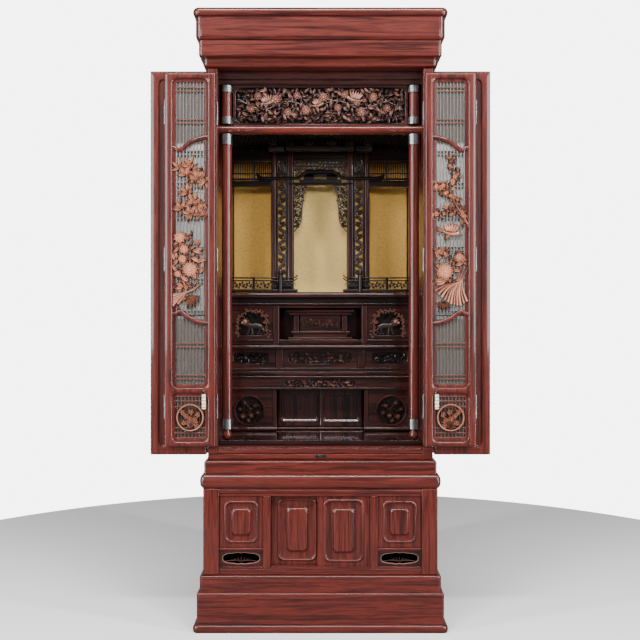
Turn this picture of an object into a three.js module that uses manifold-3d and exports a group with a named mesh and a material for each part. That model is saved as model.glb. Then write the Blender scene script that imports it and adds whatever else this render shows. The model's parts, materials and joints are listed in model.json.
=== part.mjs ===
// Household altar cabinet with folding outer doors and folding lattice doors.
// Millimetres. +X is to the viewer's right, +Y runs back from the body's front face, +Z is up.
// The doors are modelled open, as folded leaves beside the body.
import * as THREE from 'three';
import { mergeVertices } from 'three/addons/utils/BufferGeometryUtils.js';
import Module from 'manifold-3d';

const wasm = await Module();
wasm.setup();

// Driving dimensions
const gap = 0.3;
const bodyHalf = 292;
const wall = 25;
const bodyBack = 480;
const baseFront = -40;
const baseHalf = 327;
const openingHalf = bodyHalf - wall;

// Heights of the stacked parts
const baseRollTop = 20;
const baseFrameTop = 102;
const baseStepTop = 145;
const lowerRailTop = 166;
const lowerDoorTop = 350;
const lowerTop = 368;
const slabTop = 403;
const plinthTop = 438;
const pullBoardBottom = 453;
const pullBoardTop = 468;
const sillTop = 471.5;
const floorTop = 484.5;
const bodyTop = 1454;
const crownTops = [1477, 1518, 1578, 1600];

// Doors
const outerAxis = 295;
const outerLeafWidth = 145;
const outerLeafBottom = 451;
const outerLeafTop = 1446;
const outerThick = 19.4;
const latticeAxis = 267.5;
const latticeLeafWidth = 131.5;
const latticeBottom = 475;
const latticeTop = 1435;
const latticeThick = 14.4;
const hingeSlack = 1;

// Inside of the upper cabinet
const liningFront = 34;
const columnX = 247.5;
const columnY = 52;
const beamBottom = 1293;
const beamTop = 1316;
const transomTop = 1421;
const sideTierFront = 245;
const centreTierFront = 280;
const backThick = 11.7;
const innerBack = bodyBack - backThick - 10;
const innerHalf = openingHalf - gap;

const group = new THREE.Group();
group.position.set(0, -(baseFront + bodyBack) / 2, 0);

const looks = {
  redwood: { color: 0x5a1d15, roughness: 0.28, metalness: 0 },
  darkwood: { color: 0x23100c, roughness: 0.3, metalness: 0 },
  ebony: { color: 0x140e0c, roughness: 0.35, metalness: 0 },
  gold: { color: 0xc59a45, roughness: 0.45, metalness: 1 },
  gauze: { color: 0x9b948a, roughness: 0.9, metalness: 0 },
};

// Turns a closed three.js geometry into a solid that can be joined and cut.
function solid(geometry) {
  const bare = geometry.clone();
  bare.deleteAttribute('normal');
  bare.deleteAttribute('uv');
  const merged = mergeVertices(bare, 1e-4);
  const mesh = new wasm.Mesh({
    numProp: 3,
    vertProperties: new Float32Array(merged.attributes.position.array),
    triVerts: new Uint32Array(merged.index.array),
  });
  return new wasm.Manifold(mesh);
}

function geometryOf(shape) {
  const mesh = shape.getMesh();
  const geometry = new THREE.BufferGeometry();
  geometry.setAttribute('position', new THREE.BufferAttribute(new Float32Array(mesh.vertProperties), 3));
  geometry.setIndex(new THREE.BufferAttribute(new Uint32Array(mesh.triVerts), 1));
  const flat = geometry.toNonIndexed();
  flat.computeVertexNormals();
  return flat;
}

function addPiece(name, shape, look) {
  const mesh = new THREE.Mesh(geometryOf(shape), new THREE.MeshStandardMaterial(looks[look]));
  mesh.name = name;
  group.add(mesh);
}

const join = (shapes) => shapes.reduce((whole, next) => whole.add(next));

// A copy of a solid placed by a matrix. A mirroring matrix also turns the triangles the right way out.
function placed(shape, matrix) {
  const mesh = shape.getMesh();
  const positions = new THREE.BufferAttribute(new Float32Array(mesh.vertProperties), 3);
  positions.applyMatrix4(matrix);
  const triVerts = new Uint32Array(mesh.triVerts);
  if (matrix.determinant() < 0) {
    for (let i = 0; i < triVerts.length; i += 3) {
      [triVerts[i + 1], triVerts[i + 2]] = [triVerts[i + 2], triVerts[i + 1]];
    }
  }
  return new wasm.Manifold(new wasm.Mesh({ numProp: 3, vertProperties: positions.array, triVerts }));
}

const mirrored = (shape) => placed(shape, new THREE.Matrix4().makeScale(-1, 1, 1));

function addPair(name, rightShape, look) {
  addPiece(`${name}_right`, rightShape, look);
  addPiece(`${name}_left`, mirrored(rightShape), look);
}

function box(x0, x1, y0, y1, z0, z1) {
  const geometry = new THREE.BoxGeometry(x1 - x0, y1 - y0, z1 - z0);
  geometry.translate((x0 + x1) / 2, (y0 + y1) / 2, (z0 + z1) / 2);
  return solid(geometry);
}

// An outline drawn in X and Z, given its thickness from y0 back to y1. Its holes go right through.
function plate(outline, y0, y1, curveSegments = 5) {
  const extruded = (path, front, back) => {
    const edge = new THREE.Shape(path.getPoints(curveSegments));
    const geometry = new THREE.ExtrudeGeometry(edge, { depth: back - front, bevelEnabled: false });
    geometry.rotateX(Math.PI / 2);
    geometry.translate(0, back, 0);
    return solid(geometry);
  };
  return outline.holes.reduce(
    (whole, hole) => whole.subtract(extruded(hole, y0 - 1, y1 + 1)), extruded(outline, y0, y1),
  );
}

// An outline drawn in Y and Z, run along X from x0 to x1.
function molding(points, x0, x1) {
  const outline = new THREE.Shape(points.map(([y, z]) => new THREE.Vector2(y, z)));
  const geometry = new THREE.ExtrudeGeometry(outline, { depth: x1 - x0, bevelEnabled: false });
  const turn = new THREE.Matrix4().makeBasis(
    new THREE.Vector3(0, 1, 0),
    new THREE.Vector3(0, 0, 1),
    new THREE.Vector3(1, 0, 0),
  );
  geometry.applyMatrix4(turn);
  geometry.translate(x0, 0, 0);
  return solid(geometry);
}

function rectangle(x0, x1, z0, z1, radius = 0) {
  const outline = new THREE.Shape();
  if (radius === 0) {
    outline.moveTo(x0, z0).lineTo(x1, z0).lineTo(x1, z1).lineTo(x0, z1).closePath();
    return outline;
  }
  outline.moveTo(x0 + radius, z0).lineTo(x1 - radius, z0);
  outline.absarc(x1 - radius, z0 + radius, radius, -Math.PI / 2, 0);
  outline.lineTo(x1, z1 - radius);
  outline.absarc(x1 - radius, z1 - radius, radius, 0, Math.PI / 2);
  outline.lineTo(x0 + radius, z1);
  outline.absarc(x0 + radius, z1 - radius, radius, Math.PI / 2, Math.PI);
  outline.lineTo(x0, z0 + radius);
  outline.absarc(x0 + radius, z0 + radius, radius, Math.PI, Math.PI * 1.5);
  return outline;
}

function disc(cx, cz, radius, sides = 16) {
  const outline = new THREE.Shape();
  for (let i = 0; i < sides; i += 1) {
    const angle = (i / sides) * Math.PI * 2;
    const point = [cx + radius * Math.cos(angle), cz + radius * Math.sin(angle)];
    if (i === 0) outline.moveTo(...point);
    else outline.lineTo(...point);
  }
  return outline;
}

// A flat board with an edge profile on its front and two ends, and a flat back.
// Each profile entry is [how far the edge stands out, height].
function edgedBoard(half, front, back, cornerRadius, profile) {
  const cornerSteps = 2;
  const ring = (out) => {
    const reach = cornerRadius + out;
    const rightCorner = [];
    for (let i = cornerSteps; i >= 0; i -= 1) {
      const angle = (i / cornerSteps) * (Math.PI / 2);
      const x = half - cornerRadius + reach * Math.cos(angle);
      rightCorner.push([x, front + cornerRadius - reach * Math.sin(angle)]);
    }
    const leftCorner = rightCorner.map(([x, y]) => [-x, y]).reverse();
    return [[-(half + out), back], ...leftCorner, ...rightCorner, [half + out, back]];
  };
  const rings = profile.map(([out, z]) => ring(out).map(([x, y]) => [x, y, z]));
  return loft(rings);
}

// Joins closed rings of equal length, listed upwards and anticlockwise from above, into one solid.
function loft(rings) {
  const count = rings[0].length;
  const positions = rings.flat(2);
  const index = [];
  for (let level = 0; level < rings.length - 1; level += 1) {
    for (let i = 0; i < count; i += 1) {
      const a = level * count + i;
      const b = level * count + ((i + 1) % count);
      index.push(a, b, b + count, a, b + count, a + count);
    }
  }
  const last = (rings.length - 1) * count;
  for (let i = 1; i < count - 1; i += 1) {
    index.push(0, i + 1, i);
    index.push(last, last + i, last + i + 1);
  }
  const geometry = new THREE.BufferGeometry();
  geometry.setAttribute('position', new THREE.BufferAttribute(new Float32Array(positions), 3));
  geometry.setIndex(index);
  return solid(geometry);
}

function rolledProfile(z0, z1, depth) {
  const steps = 4;
  const radius = (z1 - z0) / 2;
  const profile = [];
  for (let i = 0; i <= steps; i += 1) {
    const angle = -Math.PI / 2 + (i / steps) * Math.PI;
    profile.push([depth * (Math.cos(angle) - 1), z0 + radius + radius * Math.sin(angle)]);
  }
  return profile;
}

// A rod of round section with its own profile of [radius, height], standing at x and y.
function turned(x, y, profile, sides = 8) {
  const points = profile.map(([radius, z]) => new THREE.Vector2(radius, z));
  const geometry = new THREE.LatheGeometry(points, sides);
  geometry.rotateX(Math.PI / 2);
  geometry.translate(x, y, 0);
  return solid(geometry);
}

// A leaf shape in X and Z, pointing along its angle.
function leaf(cx, cz, length, width, angle) {
  const along = [Math.cos(angle), Math.sin(angle)];
  const at = (u, v) => [cx + along[0] * u - along[1] * v, cz + along[1] * u + along[0] * v];
  const outline = new THREE.Shape();
  outline.moveTo(...at(0, 0));
  outline.lineTo(...at(length * 0.45, -width / 2));
  outline.lineTo(...at(length, 0));
  outline.lineTo(...at(length * 0.35, width / 2));
  return outline;
}

// An open flower seen from the front: petals with a notch between each two.
function blossom(cx, cz, radius, petals, turn = 0) {
  const outline = new THREE.Shape();
  for (let i = 0; i < petals * 2; i += 1) {
    const reach = i % 2 ? radius : radius * 0.55;
    const angle = turn + (i / petals) * Math.PI;
    const point = [cx + reach * Math.cos(angle), cz + reach * Math.sin(angle)];
    if (i === 0) outline.moveTo(...point);
    else outline.lineTo(...point);
  }
  return outline;
}

// A small flying bird in X and Z, facing +X or -X: beak, back, tail and two raised wings.
function birdOutline(cx, cz, size, facing) {
  const points = [
    [0.62, 0.1], [0.3, 0.24], [0.12, 0.62], [-0.06, 0.2],
    [-0.38, 0.5], [-0.28, 0.08], [-0.7, 0.1], [-0.05, -0.2],
  ];
  const silhouette = points.map(([u, v]) => new THREE.Vector2(cx + facing * size * u, cz + size * v));
  return new THREE.Shape(facing > 0 ? silhouette.reverse() : silhouette);
}

// A strip of constant width that follows points in X and Z.
function strip(points, width) {
  const left = [];
  const right = [];
  points.forEach(([x, z], i) => {
    const before = points[Math.max(i - 1, 0)];
    const after = points[Math.min(i + 1, points.length - 1)];
    const dx = after[0] - before[0];
    const dz = after[1] - before[1];
    const length = Math.hypot(dx, dz);
    left.push([x - (dz / length) * (width / 2), z + (dx / length) * (width / 2)]);
    right.unshift([x + (dz / length) * (width / 2), z - (dx / length) * (width / 2)]);
  });
  return new THREE.Shape([...left, ...right].map(([x, z]) => new THREE.Vector2(x, z)).reverse());
}

function wave(x0, x1, steps, height) {
  const points = [];
  for (let i = 0; i <= steps; i += 1) {
    const x = x0 + (x1 - x0) * (i / steps);
    points.push([x, height(i / steps)]);
  }
  return points;
}

// A front panel with a raised, bevelled field: outer frame flat, moulding raised, field raised again.
function raisedPanel(x0, x1, z0, z1, y, thickness, inset, fieldInset) {
  const ring = (margin, depth) => [
    [x0 + margin, depth, z0 + margin],
    [x1 - margin, depth, z0 + margin],
    [x1 - margin, depth, z1 - margin],
    [x0 + margin, depth, z1 - margin],
  ];
  const steps = [
    ring(0, y + thickness),
    ring(0, y),
    ring(inset, y - 3),
    ring(inset + 6, y + 4),
    ring(fieldInset, y + 4),
    ring(fieldInset + 4, y - 2),
  ];
  return loft(steps);
}

// Base
function buildBase() {
  const roll = rolledProfile(0, baseRollTop, 5);
  addPiece('base_board', edgedBoard(baseHalf, baseFront, bodyBack, 14, roll), 'redwood');
  const frameHalf = baseHalf - 10;
  const frameFront = baseFront + 5;
  const frameWall = 20;
  const outer = edgedBoard(frameHalf, frameFront, bodyBack, 8, [
    [0, baseRollTop + gap],
    [0, baseFrameTop - 4],
    [-3, baseFrameTop],
  ]);
  const hollowHalf = frameHalf - frameWall;
  const hollow = box(-hollowHalf, hollowHalf, frameFront + frameWall, bodyBack - frameWall, 0, baseStepTop);
  addPiece('base_frame', outer.subtract(hollow), 'redwood');
  const step = edgedBoard(baseHalf - 17, baseFront + 11, bodyBack, 8, [
    [0, baseFrameTop + gap],
    [0, baseStepTop - 3],
    [-4, baseStepTop],
  ]);
  addPiece('base_step', step, 'redwood');
}

// Lower cabinet: a hollow case with a framed front, two raised panels and two sliding doors
const lowerHalf = 302;
const lowerFront = -20;
const lowerFrameBack = 6;
const doorPost = 128;
const sidePanelInner = 148;
const sidePanelOuter = 260;
const sidePanelBottom = 214;
const sidePanelTop = lowerDoorTop - 3;
const openworkTop = 207;
const trackDepth = 6;

function buildLowerCabinet() {
  const bottom = baseStepTop + gap;
  const sideInner = lowerHalf - 20;
  const caseFront = lowerFrameBack + gap;
  const backFace = bodyBack - backThick;
  const floorThick = 14.7;
  const floor = box(-sideInner, sideInner, caseFront, backFace - gap, bottom, bottom + floorThick);
  addPiece('lower_floor', floor, 'darkwood');
  addPair('lower_side', box(sideInner + gap, lowerHalf, caseFront, bodyBack, bottom, lowerTop), 'redwood');
  addPiece('lower_back', box(-sideInner, sideInner, backFace, bodyBack, bottom, lowerTop), 'darkwood');
  buildLowerFront(bottom);
  buildLowOpenwork();
  buildSlidingDoors();
  const roll = rolledProfile(lowerTop + gap, slabTop, 8);
  addPiece('lower_slab', edgedBoard(310, baseFront + 10, bodyBack, 12, roll), 'redwood');
}

// The framed front: two round corner posts, rails, two posts beside the doors, and the sliding tracks
function buildLowerFront(bottom) {
  const outline = rectangle(-lowerHalf, lowerHalf, bottom, lowerTop);
  outline.holes.push(rectangle(-doorPost, doorPost, lowerRailTop, lowerDoorTop));
  for (const side of [-1, 1]) {
    const x0 = Math.min(side * sidePanelInner, side * sidePanelOuter);
    const x1 = Math.max(side * sidePanelInner, side * sidePanelOuter);
    outline.holes.push(rectangle(x0, x1, sidePanelBottom, sidePanelTop));
    outline.holes.push(rectangle(x0, x1, lowerRailTop, openworkTop));
  }
  const postRadius = 14;
  const postProfile = [[0, bottom], [postRadius, bottom], [postRadius, lowerTop], [0, lowerTop]];
  const post = turned(lowerHalf - 18, lowerFront + 8, postProfile);
  const frame = join([
    plate(outline, lowerFront, lowerFrameBack),
    box(-lowerHalf, lowerHalf, lowerFront - 3, lowerFront + 1, lowerDoorTop + 6, lowerTop - 4),
    post,
    mirrored(post),
  ]);
  const trackZ = [lowerRailTop - trackDepth, lowerDoorTop + 5];
  const track = (front, back) => box(-doorPost, doorPost, front, back, ...trackZ);
  const tracks = track(lowerFront + 2, lowerFront + 12.3).add(track(lowerFront + 14.3, lowerFront + 24));
  addPiece('lower_front_frame', frame.subtract(tracks), 'redwood');

  const panelX = [sidePanelInner + gap, sidePanelOuter - gap];
  const panelZ = [sidePanelBottom + gap, sidePanelTop - gap];
  addPair('lower_side_panel', raisedPanel(...panelX, ...panelZ, lowerFront + 4, 9, 16, 33), 'redwood');
}

function buildSlidingDoors() {
  const overlap = 7.5;
  const doorEnd = doorPost - 0.5;
  const doorZ = [lowerRailTop - trackDepth + 0.5, lowerDoorTop + 4.5];
  const moulding = 20;
  const field = 42;
  const front = raisedPanel(-overlap, doorEnd, ...doorZ, lowerFront + 5.5, 6.4, moulding, field);
  addPiece('sliding_door_right', front, 'redwood');
  const rear = raisedPanel(-doorEnd, overlap, ...doorZ, lowerFront + 17.6, 6, moulding, field);
  addPiece('sliding_door_left', rear, 'redwood');
}

// The low openwork panels: a scalloped opening with a small plant standing in it.
function buildLowOpenwork() {
  const z0 = lowerRailTop + gap;
  const z1 = openworkTop - gap;
  const centre = (sidePanelInner + sidePanelOuter) / 2;
  const halfWidth = 44;
  const middle = (z0 + z1) / 2;
  const lobes = 6;
  const opening = new THREE.Path();
  const steps = 12;
  for (let i = 0; i < steps; i += 1) {
    const angle = (i / steps) * Math.PI * 2;
    const scallop = 1 + 0.05 * Math.cos(lobes * angle);
    const x = centre + halfWidth * scallop * Math.sign(Math.cos(angle)) * Math.abs(Math.cos(angle)) ** 0.6;
    const z = middle + 13 * scallop * Math.sign(Math.sin(angle)) * Math.abs(Math.sin(angle)) ** 0.6;
    if (i === 0) opening.moveTo(x, z);
    else opening.lineTo(x, z);
  }
  const board = rectangle(sidePanelInner + gap, sidePanelOuter - gap, z0, z1);
  board.holes.push(opening);
  const carved = (shape) => plate(shape, lowerFront + 7, lowerFront + 11);
  const ground = [[centre - 46, middle - 6], [centre, middle - 4], [centre + 46, middle - 7]];
  const plant = [carved(strip(ground, 4))];
  for (let i = -1; i <= 1; i += 1) {
    plant.push(carved(leaf(centre + i * 18, middle - 6, 17, 12, Math.PI / 2 - i * 0.5)));
  }
  addPair('lower_openwork', join([plate(board, lowerFront + 5, lowerFront + 13), ...plant]), 'redwood');
}

// Plinth of the upper cabinet, with the slot for the pull-out board
function buildPlinth() {
  const plinth = edgedBoard(300, -20, bodyBack, 6, [
    [0, slabTop + gap],
    [0, plinthTop - 4],
    [-3, plinthTop],
  ]);
  addPiece('plinth', plinth, 'redwood');
  const bottom = plinthTop + gap;
  const railDepth = 60;
  const sill = join([
    box(-bodyHalf, bodyHalf, 0, bodyBack, bottom, pullBoardBottom - gap),
    box(-bodyHalf, -openingHalf, 0, bodyBack, bottom, sillTop),
    box(openingHalf, bodyHalf, 0, bodyBack, bottom, sillTop),
    box(-bodyHalf, bodyHalf, bodyBack - railDepth, bodyBack, bottom, sillTop),
    box(-bodyHalf, bodyHalf, 0, liningFront, pullBoardTop + gap * 2, sillTop),
  ]);
  addPiece('sill', sill, 'redwood');
  const boardHalf = openingHalf - 1;
  const boardDepth = 300;
  const board = box(-boardHalf, boardHalf, 0, boardDepth, pullBoardBottom + gap, pullBoardTop);
  addPiece('pull_out_board', board, 'redwood');
}

// Upper cabinet: floor, walls, back, top and crown
function buildUpperCase() {
  const bottom = sillTop + gap;
  const top = bodyTop - gap;
  const backFace = bodyBack - backThick - gap;
  addPiece('altar_floor', box(-innerHalf, innerHalf, liningFront, backFace, bottom, floorTop), 'darkwood');
  addPair('side_wall', box(openingHalf, bodyHalf, 0, bodyBack, bottom, top), 'redwood');
  addPiece('back_wall', box(-innerHalf, innerHalf, bodyBack - backThick, bodyBack, bottom, top), 'darkwood');
  const board = 1436;
  const steps = [
    [backFace, top],
    [backFace, board],
    [liningFront + 26, board],
    [liningFront + 26, transomTop + gap],
    [liningFront + 9, transomTop + gap],
    [liningFront + 9, board],
    [liningFront + 4, board + 2],
    [liningFront + 4, board + 9],
    [liningFront, board + 11],
    [liningFront, top],
  ];
  addPiece('upper_top', molding(steps, -innerHalf, innerHalf), 'darkwood');

  const [fillet, step, frieze, cap] = crownTops;
  const filletProfile = [[-8, bodyTop], [0, bodyTop + 8], [0, fillet - gap]];
  addPiece('crown_fillet', edgedBoard(304, -8, bodyBack, 12, filletProfile), 'redwood');
  const stepProfile = [[-5, fillet], [0, fillet + 5], [0, step - gap]];
  addPiece('crown_step', edgedBoard(313, -26, bodyBack, 10, stepProfile), 'redwood');
  const friezeProfile = [[-14, step], [-6, step + 3], [0, step + 12], [0, frieze - gap]];
  addPiece('crown_frieze', edgedBoard(321, -32, bodyBack, 18, friezeProfile), 'redwood');
  const capProfile = rolledProfile(frieze, cap, 8);
  addPiece('crown_board', edgedBoard(baseHalf, baseFront, bodyBack, 18, capProfile), 'redwood');
}

// Columns, beam and carved transom across the front of the altar
function buildFrontFrame() {
  const collar = (z0, z1) => [[15.5, z0], [15.5, z1]];
  const shaft = 13.5;
  const column = turned(columnX, columnY, [
    [0, floorTop + gap], [6, floorTop + gap], [11, floorTop + 5], [13, floorTop + 13], [11, floorTop + 21],
    [9, floorTop + 26], ...collar(floorTop + 27, floorTop + 55), [shaft, floorTop + 56],
    [shaft, beamBottom - 31], ...collar(beamBottom - 30, beamBottom - gap), [0, beamBottom - gap],
  ]);
  addPair('column', column, 'redwood');
  const post = turned(columnX, columnY, [
    [0, beamTop + gap], ...collar(beamTop + gap, beamTop + 22), [shaft, beamTop + 23],
    [shaft, transomTop - 21], ...collar(transomTop - 20, transomTop - gap), [0, transomTop - gap],
  ]);
  addPair('upper_post', post, 'redwood');

  const beamHalfHeight = (beamTop - beamBottom) / 2;
  const section = [];
  for (let i = 0; i <= 8; i += 1) {
    const angle = Math.PI / 2 + (i / 8) * Math.PI;
    section.push([columnY + 12 * Math.cos(angle), beamBottom + beamHalfHeight * (1 + Math.sin(angle))]);
  }
  section.push([columnY + 13, beamBottom]);
  section.push([columnY + 13, beamTop]);
  const beam = [molding(section, -innerHalf, innerHalf)];
  const beamMiddle = beamBottom + beamHalfHeight;
  for (const side of [-1, 1]) {
    beam.push(plate(blossom(side * 212, beamMiddle, 9, 5), columnY - 14, columnY - 6));
    const spray = leaf(side * 190, beamMiddle, 58, 13, side > 0 ? 0 : Math.PI);
    beam.push(plate(spray, columnY - 13.5, columnY - 6));
  }
  addPiece('beam', join(beam), 'darkwood');
  addPiece('transom', transom(), 'darkwood');
}

// The transom is one openwork board: a frame, a swaying branch, open flowers and sprays of leaves.
function transom() {
  const half = columnX - 17;
  const z0 = beamTop + gap;
  const z1 = transomTop - gap;
  const front = columnY - 4;
  const back = columnY + 8;
  const frame = rectangle(-half, half, z0, z1);
  frame.holes.push(rectangle(-half + 8, half - 8, z0 + 4, z1 - 7, 10));
  const middle = (z0 + z1) / 2;
  const sway = (t) => 18 * Math.sin(t * Math.PI * 6);
  const carved = (shape) => plate(shape, front - 2, back - 3);
  const parts = [carved(strip(wave(-half + 4, half - 4, 12, (t) => middle + sway(t)), 12))];
  const flowers = 6;
  for (let i = 0; i < flowers; i += 1) {
    const x = -half + ((i + 0.5) / flowers) * half * 2;
    const up = i % 2 ? -1 : 1;
    parts.push(carved(blossom(x, middle + up * 17, 26, 5, i)));
    parts.push(carved(leaf(x - 2, middle + up * 6, 66, 30, -up * 1.1)));
    parts.push(carved(leaf(x + 2, middle - up * 2, 60, 28, -up * 2.2)));
  }
  const bounds = box(-half + 2, half - 2, front - 8, back, z0 + 1, z1 - 1);
  return join(parts).intersect(bounds).add(plate(frame, front, back, 2));
}

// Outer doors: flush boards with a sunk panel on each face. The outer leaf is folded behind the inner one.
function outerLeaf(x0, y0) {
  const x1 = x0 + outerLeafWidth;
  const board = box(x0, x1, y0, y0 + outerThick, outerLeafBottom, outerLeafTop);
  const stile = 21;
  const panel = rectangle(x0 + stile, x1 - stile, outerLeafBottom + stile, outerLeafTop - stile - 3, 14);
  const sunk = 5;
  return board.subtract(plate(panel, y0 - 1, y0 + sunk, 1)).subtract(
    plate(panel, y0 + outerThick - sunk, y0 + outerThick + 1, 1),
  );
}

function buildOuterLeaves() {
  addPair('outer_leaf_inner', outerLeaf(outerAxis + hingeSlack, gap), 'redwood');
  addPair('outer_leaf_outer', outerLeaf(outerAxis + hingeSlack, gap * 2 + outerThick), 'redwood');
}

const stileWidth = 21;
const upperOpening = [627, 1419];
const lowerOpening = [489, 612.5];
const openingRadius = 14;
const lowestBar = 653;
const barPitch = 82.2;
const barCount = 10;
const rebateLap = 5;
const rebateDepth = 11;
const gauzeThickness = 0.8;
const medallionZ = 550;

// A lattice leaf: frame, cross bars, two curved cloud borders and a rebate for the gauze at its back.
function latticeFrame(x0, y0) {
  const width = latticeLeafWidth;
  const x1 = x0 + width;
  const outline = rectangle(x0, x1, latticeBottom, latticeTop);
  outline.holes.push(rectangle(x0 + stileWidth, x1 - stileWidth, ...upperOpening, openingRadius));
  outline.holes.push(rectangle(x0 + stileWidth, x1 - stileWidth, ...lowerOpening, openingRadius));
  const rebate = box(x0 + stileWidth - rebateLap, x1 - stileWidth + rebateLap, y0 + rebateDepth,
    y0 + latticeThick + 1, lowerOpening[0] - rebateLap, upperOpening[1] + rebateLap);
  const parts = [plate(outline, y0, y0 + latticeThick, 1).subtract(rebate)];
  for (let i = 0; i < barCount; i += 1) {
    const z = lowestBar + i * barPitch;
    parts.push(box(x0 + stileWidth - 2, x1 - stileWidth + 2, y0 + 5, y0 + 7.5, z - 1, z + 1));
  }
  const border = (z0, z1, dip) => wave(x0 + stileWidth - 2, x1 - stileWidth + 2, 5, (t) => {
    const eased = t * t * (3 - 2 * t);
    return z0 + (z1 - z0) * eased - dip * Math.sin(t * Math.PI * 1.6);
  });
  parts.push(plate(strip(border(1276, 1243, 14), 11), y0 + 1.5, y0 + 8));
  parts.push(plate(strip(border(787, 815, -12), 11), y0 + 1.5, y0 + 8));
  return join(parts);
}

// Carvings for the right-hand leaf: a plum branch, a bird and chrysanthemums by a trunk.
function plumCarving(cx, y0, y1) {
  const carve = (outline) => plate(outline, y0, y1);
  return [
    carve(strip([[cx + 34, 1050], [cx + 12, 1090], [cx + 20, 1130], [cx - 6, 1165], [cx + 6, 1215]], 9)),
    carve(strip([[cx + 14, 1092], [cx - 14, 1112], [cx - 38, 1100]], 6)),
    carve(blossom(cx - 24, 1116, 15, 5)),
    carve(blossom(cx + 24, 1152, 15, 5)),
    carve(blossom(cx - 14, 1176, 15, 5)),
    carve(blossom(cx + 10, 1214, 14, 5)),
    carve(birdOutline(cx - 2, 1046, 44, 1)),
    carve(strip([[cx - 36, 842], [cx - 18, 880], [cx - 20, 925], [cx + 6, 965]], 13)),
    carve(blossom(cx + 14, 945, 24, 5)),
    carve(blossom(cx + 20, 898, 22, 5)),
    carve(leaf(cx - 30, 850, 60, 24, 0.35)),
    carve(leaf(cx - 20, 890, 44, 20, 2.2)),
  ];
}

// Carvings for the left-hand leaf: two birds on sprays, and a flower group on a rock.
function peonyCarving(cx, y0, y1) {
  const carve = (outline) => plate(outline, y0, y1);
  return [
    carve(strip([[cx + 42, 1146], [cx + 10, 1172], [cx - 22, 1160]], 6)),
    carve(birdOutline(cx - 4, 1176, 46, 1)),
    carve(strip([[cx + 42, 1066], [cx + 14, 1092], [cx - 22, 1082]], 6)),
    carve(birdOutline(cx + 8, 1100, 44, -1)),
    carve(strip([[cx + 34, 840], [cx + 8, 880], [cx + 24, 930], [cx + 2, 985], [cx + 10, 1030]], 11)),
    carve(blossom(cx - 12, 1003, 23, 5)),
    carve(blossom(cx + 20, 962, 19, 5)),
    carve(blossom(cx - 10, 914, 23, 5)),
    carve(leaf(cx + 30, 862, 62, 24, 2.7)),
    carve(leaf(cx + 20, 898, 44, 20, 0.8)),
  ];
}

// The round carved medallion in the low opening: a ring with leaves springing from its foot.
function medallion(cx, y0, y1, lean) {
  const radius = 35;
  const sides = 10;
  const ring = disc(cx, medallionZ, radius, sides);
  ring.holes.push(disc(cx, medallionZ, radius - 4, sides));
  const reach = latticeLeafWidth / 2 - stileWidth + 2;
  const parts = [
    plate(ring, y0, y1),
    box(cx - reach, cx + reach, y0 + 2, y1, medallionZ - 1, medallionZ + 1),
  ];
  for (let i = 0; i < 4; i += 1) {
    const offset = i - 1.5;
    const angle = Math.PI / 2 + lean * 0.15 + offset * 0.42;
    const length = 60 - Math.abs(offset) * 10;
    parts.push(plate(leaf(cx + offset * 2, medallionZ - radius + 2, length, 10, angle), y0, y1));
  }
  return parts;
}

function buildLatticeLeaves() {
  const x0 = latticeAxis + hingeSlack;
  const cx = x0 + latticeLeafWidth / 2;
  const innerY = -gap - latticeThick;
  const outerY = innerY - gap - latticeThick;
  const margin = stileWidth - rebateLap + gap;
  const sheetX = [x0 + margin, x0 + latticeLeafWidth - margin];
  const sheetZ = [lowerOpening[0] - rebateLap + gap, upperOpening[1] + rebateLap - gap];
  const sheet = (y) => box(...sheetX, y, y + gauzeThickness, ...sheetZ);
  const gauzeY = outerY + rebateDepth + gap;

  // The inner leaf's good face is turned away from the viewer while the doors stand open.
  const faceAbout = new THREE.Matrix4().makeTranslation(cx * 2, outerY + innerY + latticeThick, 0)
    .multiply(new THREE.Matrix4().makeRotationZ(Math.PI));
  addPair('lattice_leaf_inner', placed(latticeFrame(x0, outerY), faceAbout), 'redwood');
  addPair('gauze_inner', placed(sheet(gauzeY), faceAbout), 'gauze');

  const carvedFront = outerY + 2;
  const carvedBack = outerY + 7;
  const leafFor = (carving, lean) => join([
    latticeFrame(x0, outerY), ...carving(cx, carvedFront, carvedBack),
    ...medallion(cx, carvedFront, carvedBack, lean),
  ]);
  addPiece('lattice_leaf_outer_right', leafFor(plumCarving, 1), 'redwood');
  addPiece('lattice_leaf_outer_left', mirrored(leafFor(peonyCarving, -1)), 'redwood');
  addPair('gauze_outer', sheet(gauzeY), 'gauze');
}

// Lowest tier: two side fronts with round windows, a recessed pair of sliding doors, and a shelf
const tierFoot = floorTop + gap;
const shelfBottom = 603;
const shelfTop = 642;
const recessHalf = 124;
const smallDoorBottom = 492;

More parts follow.
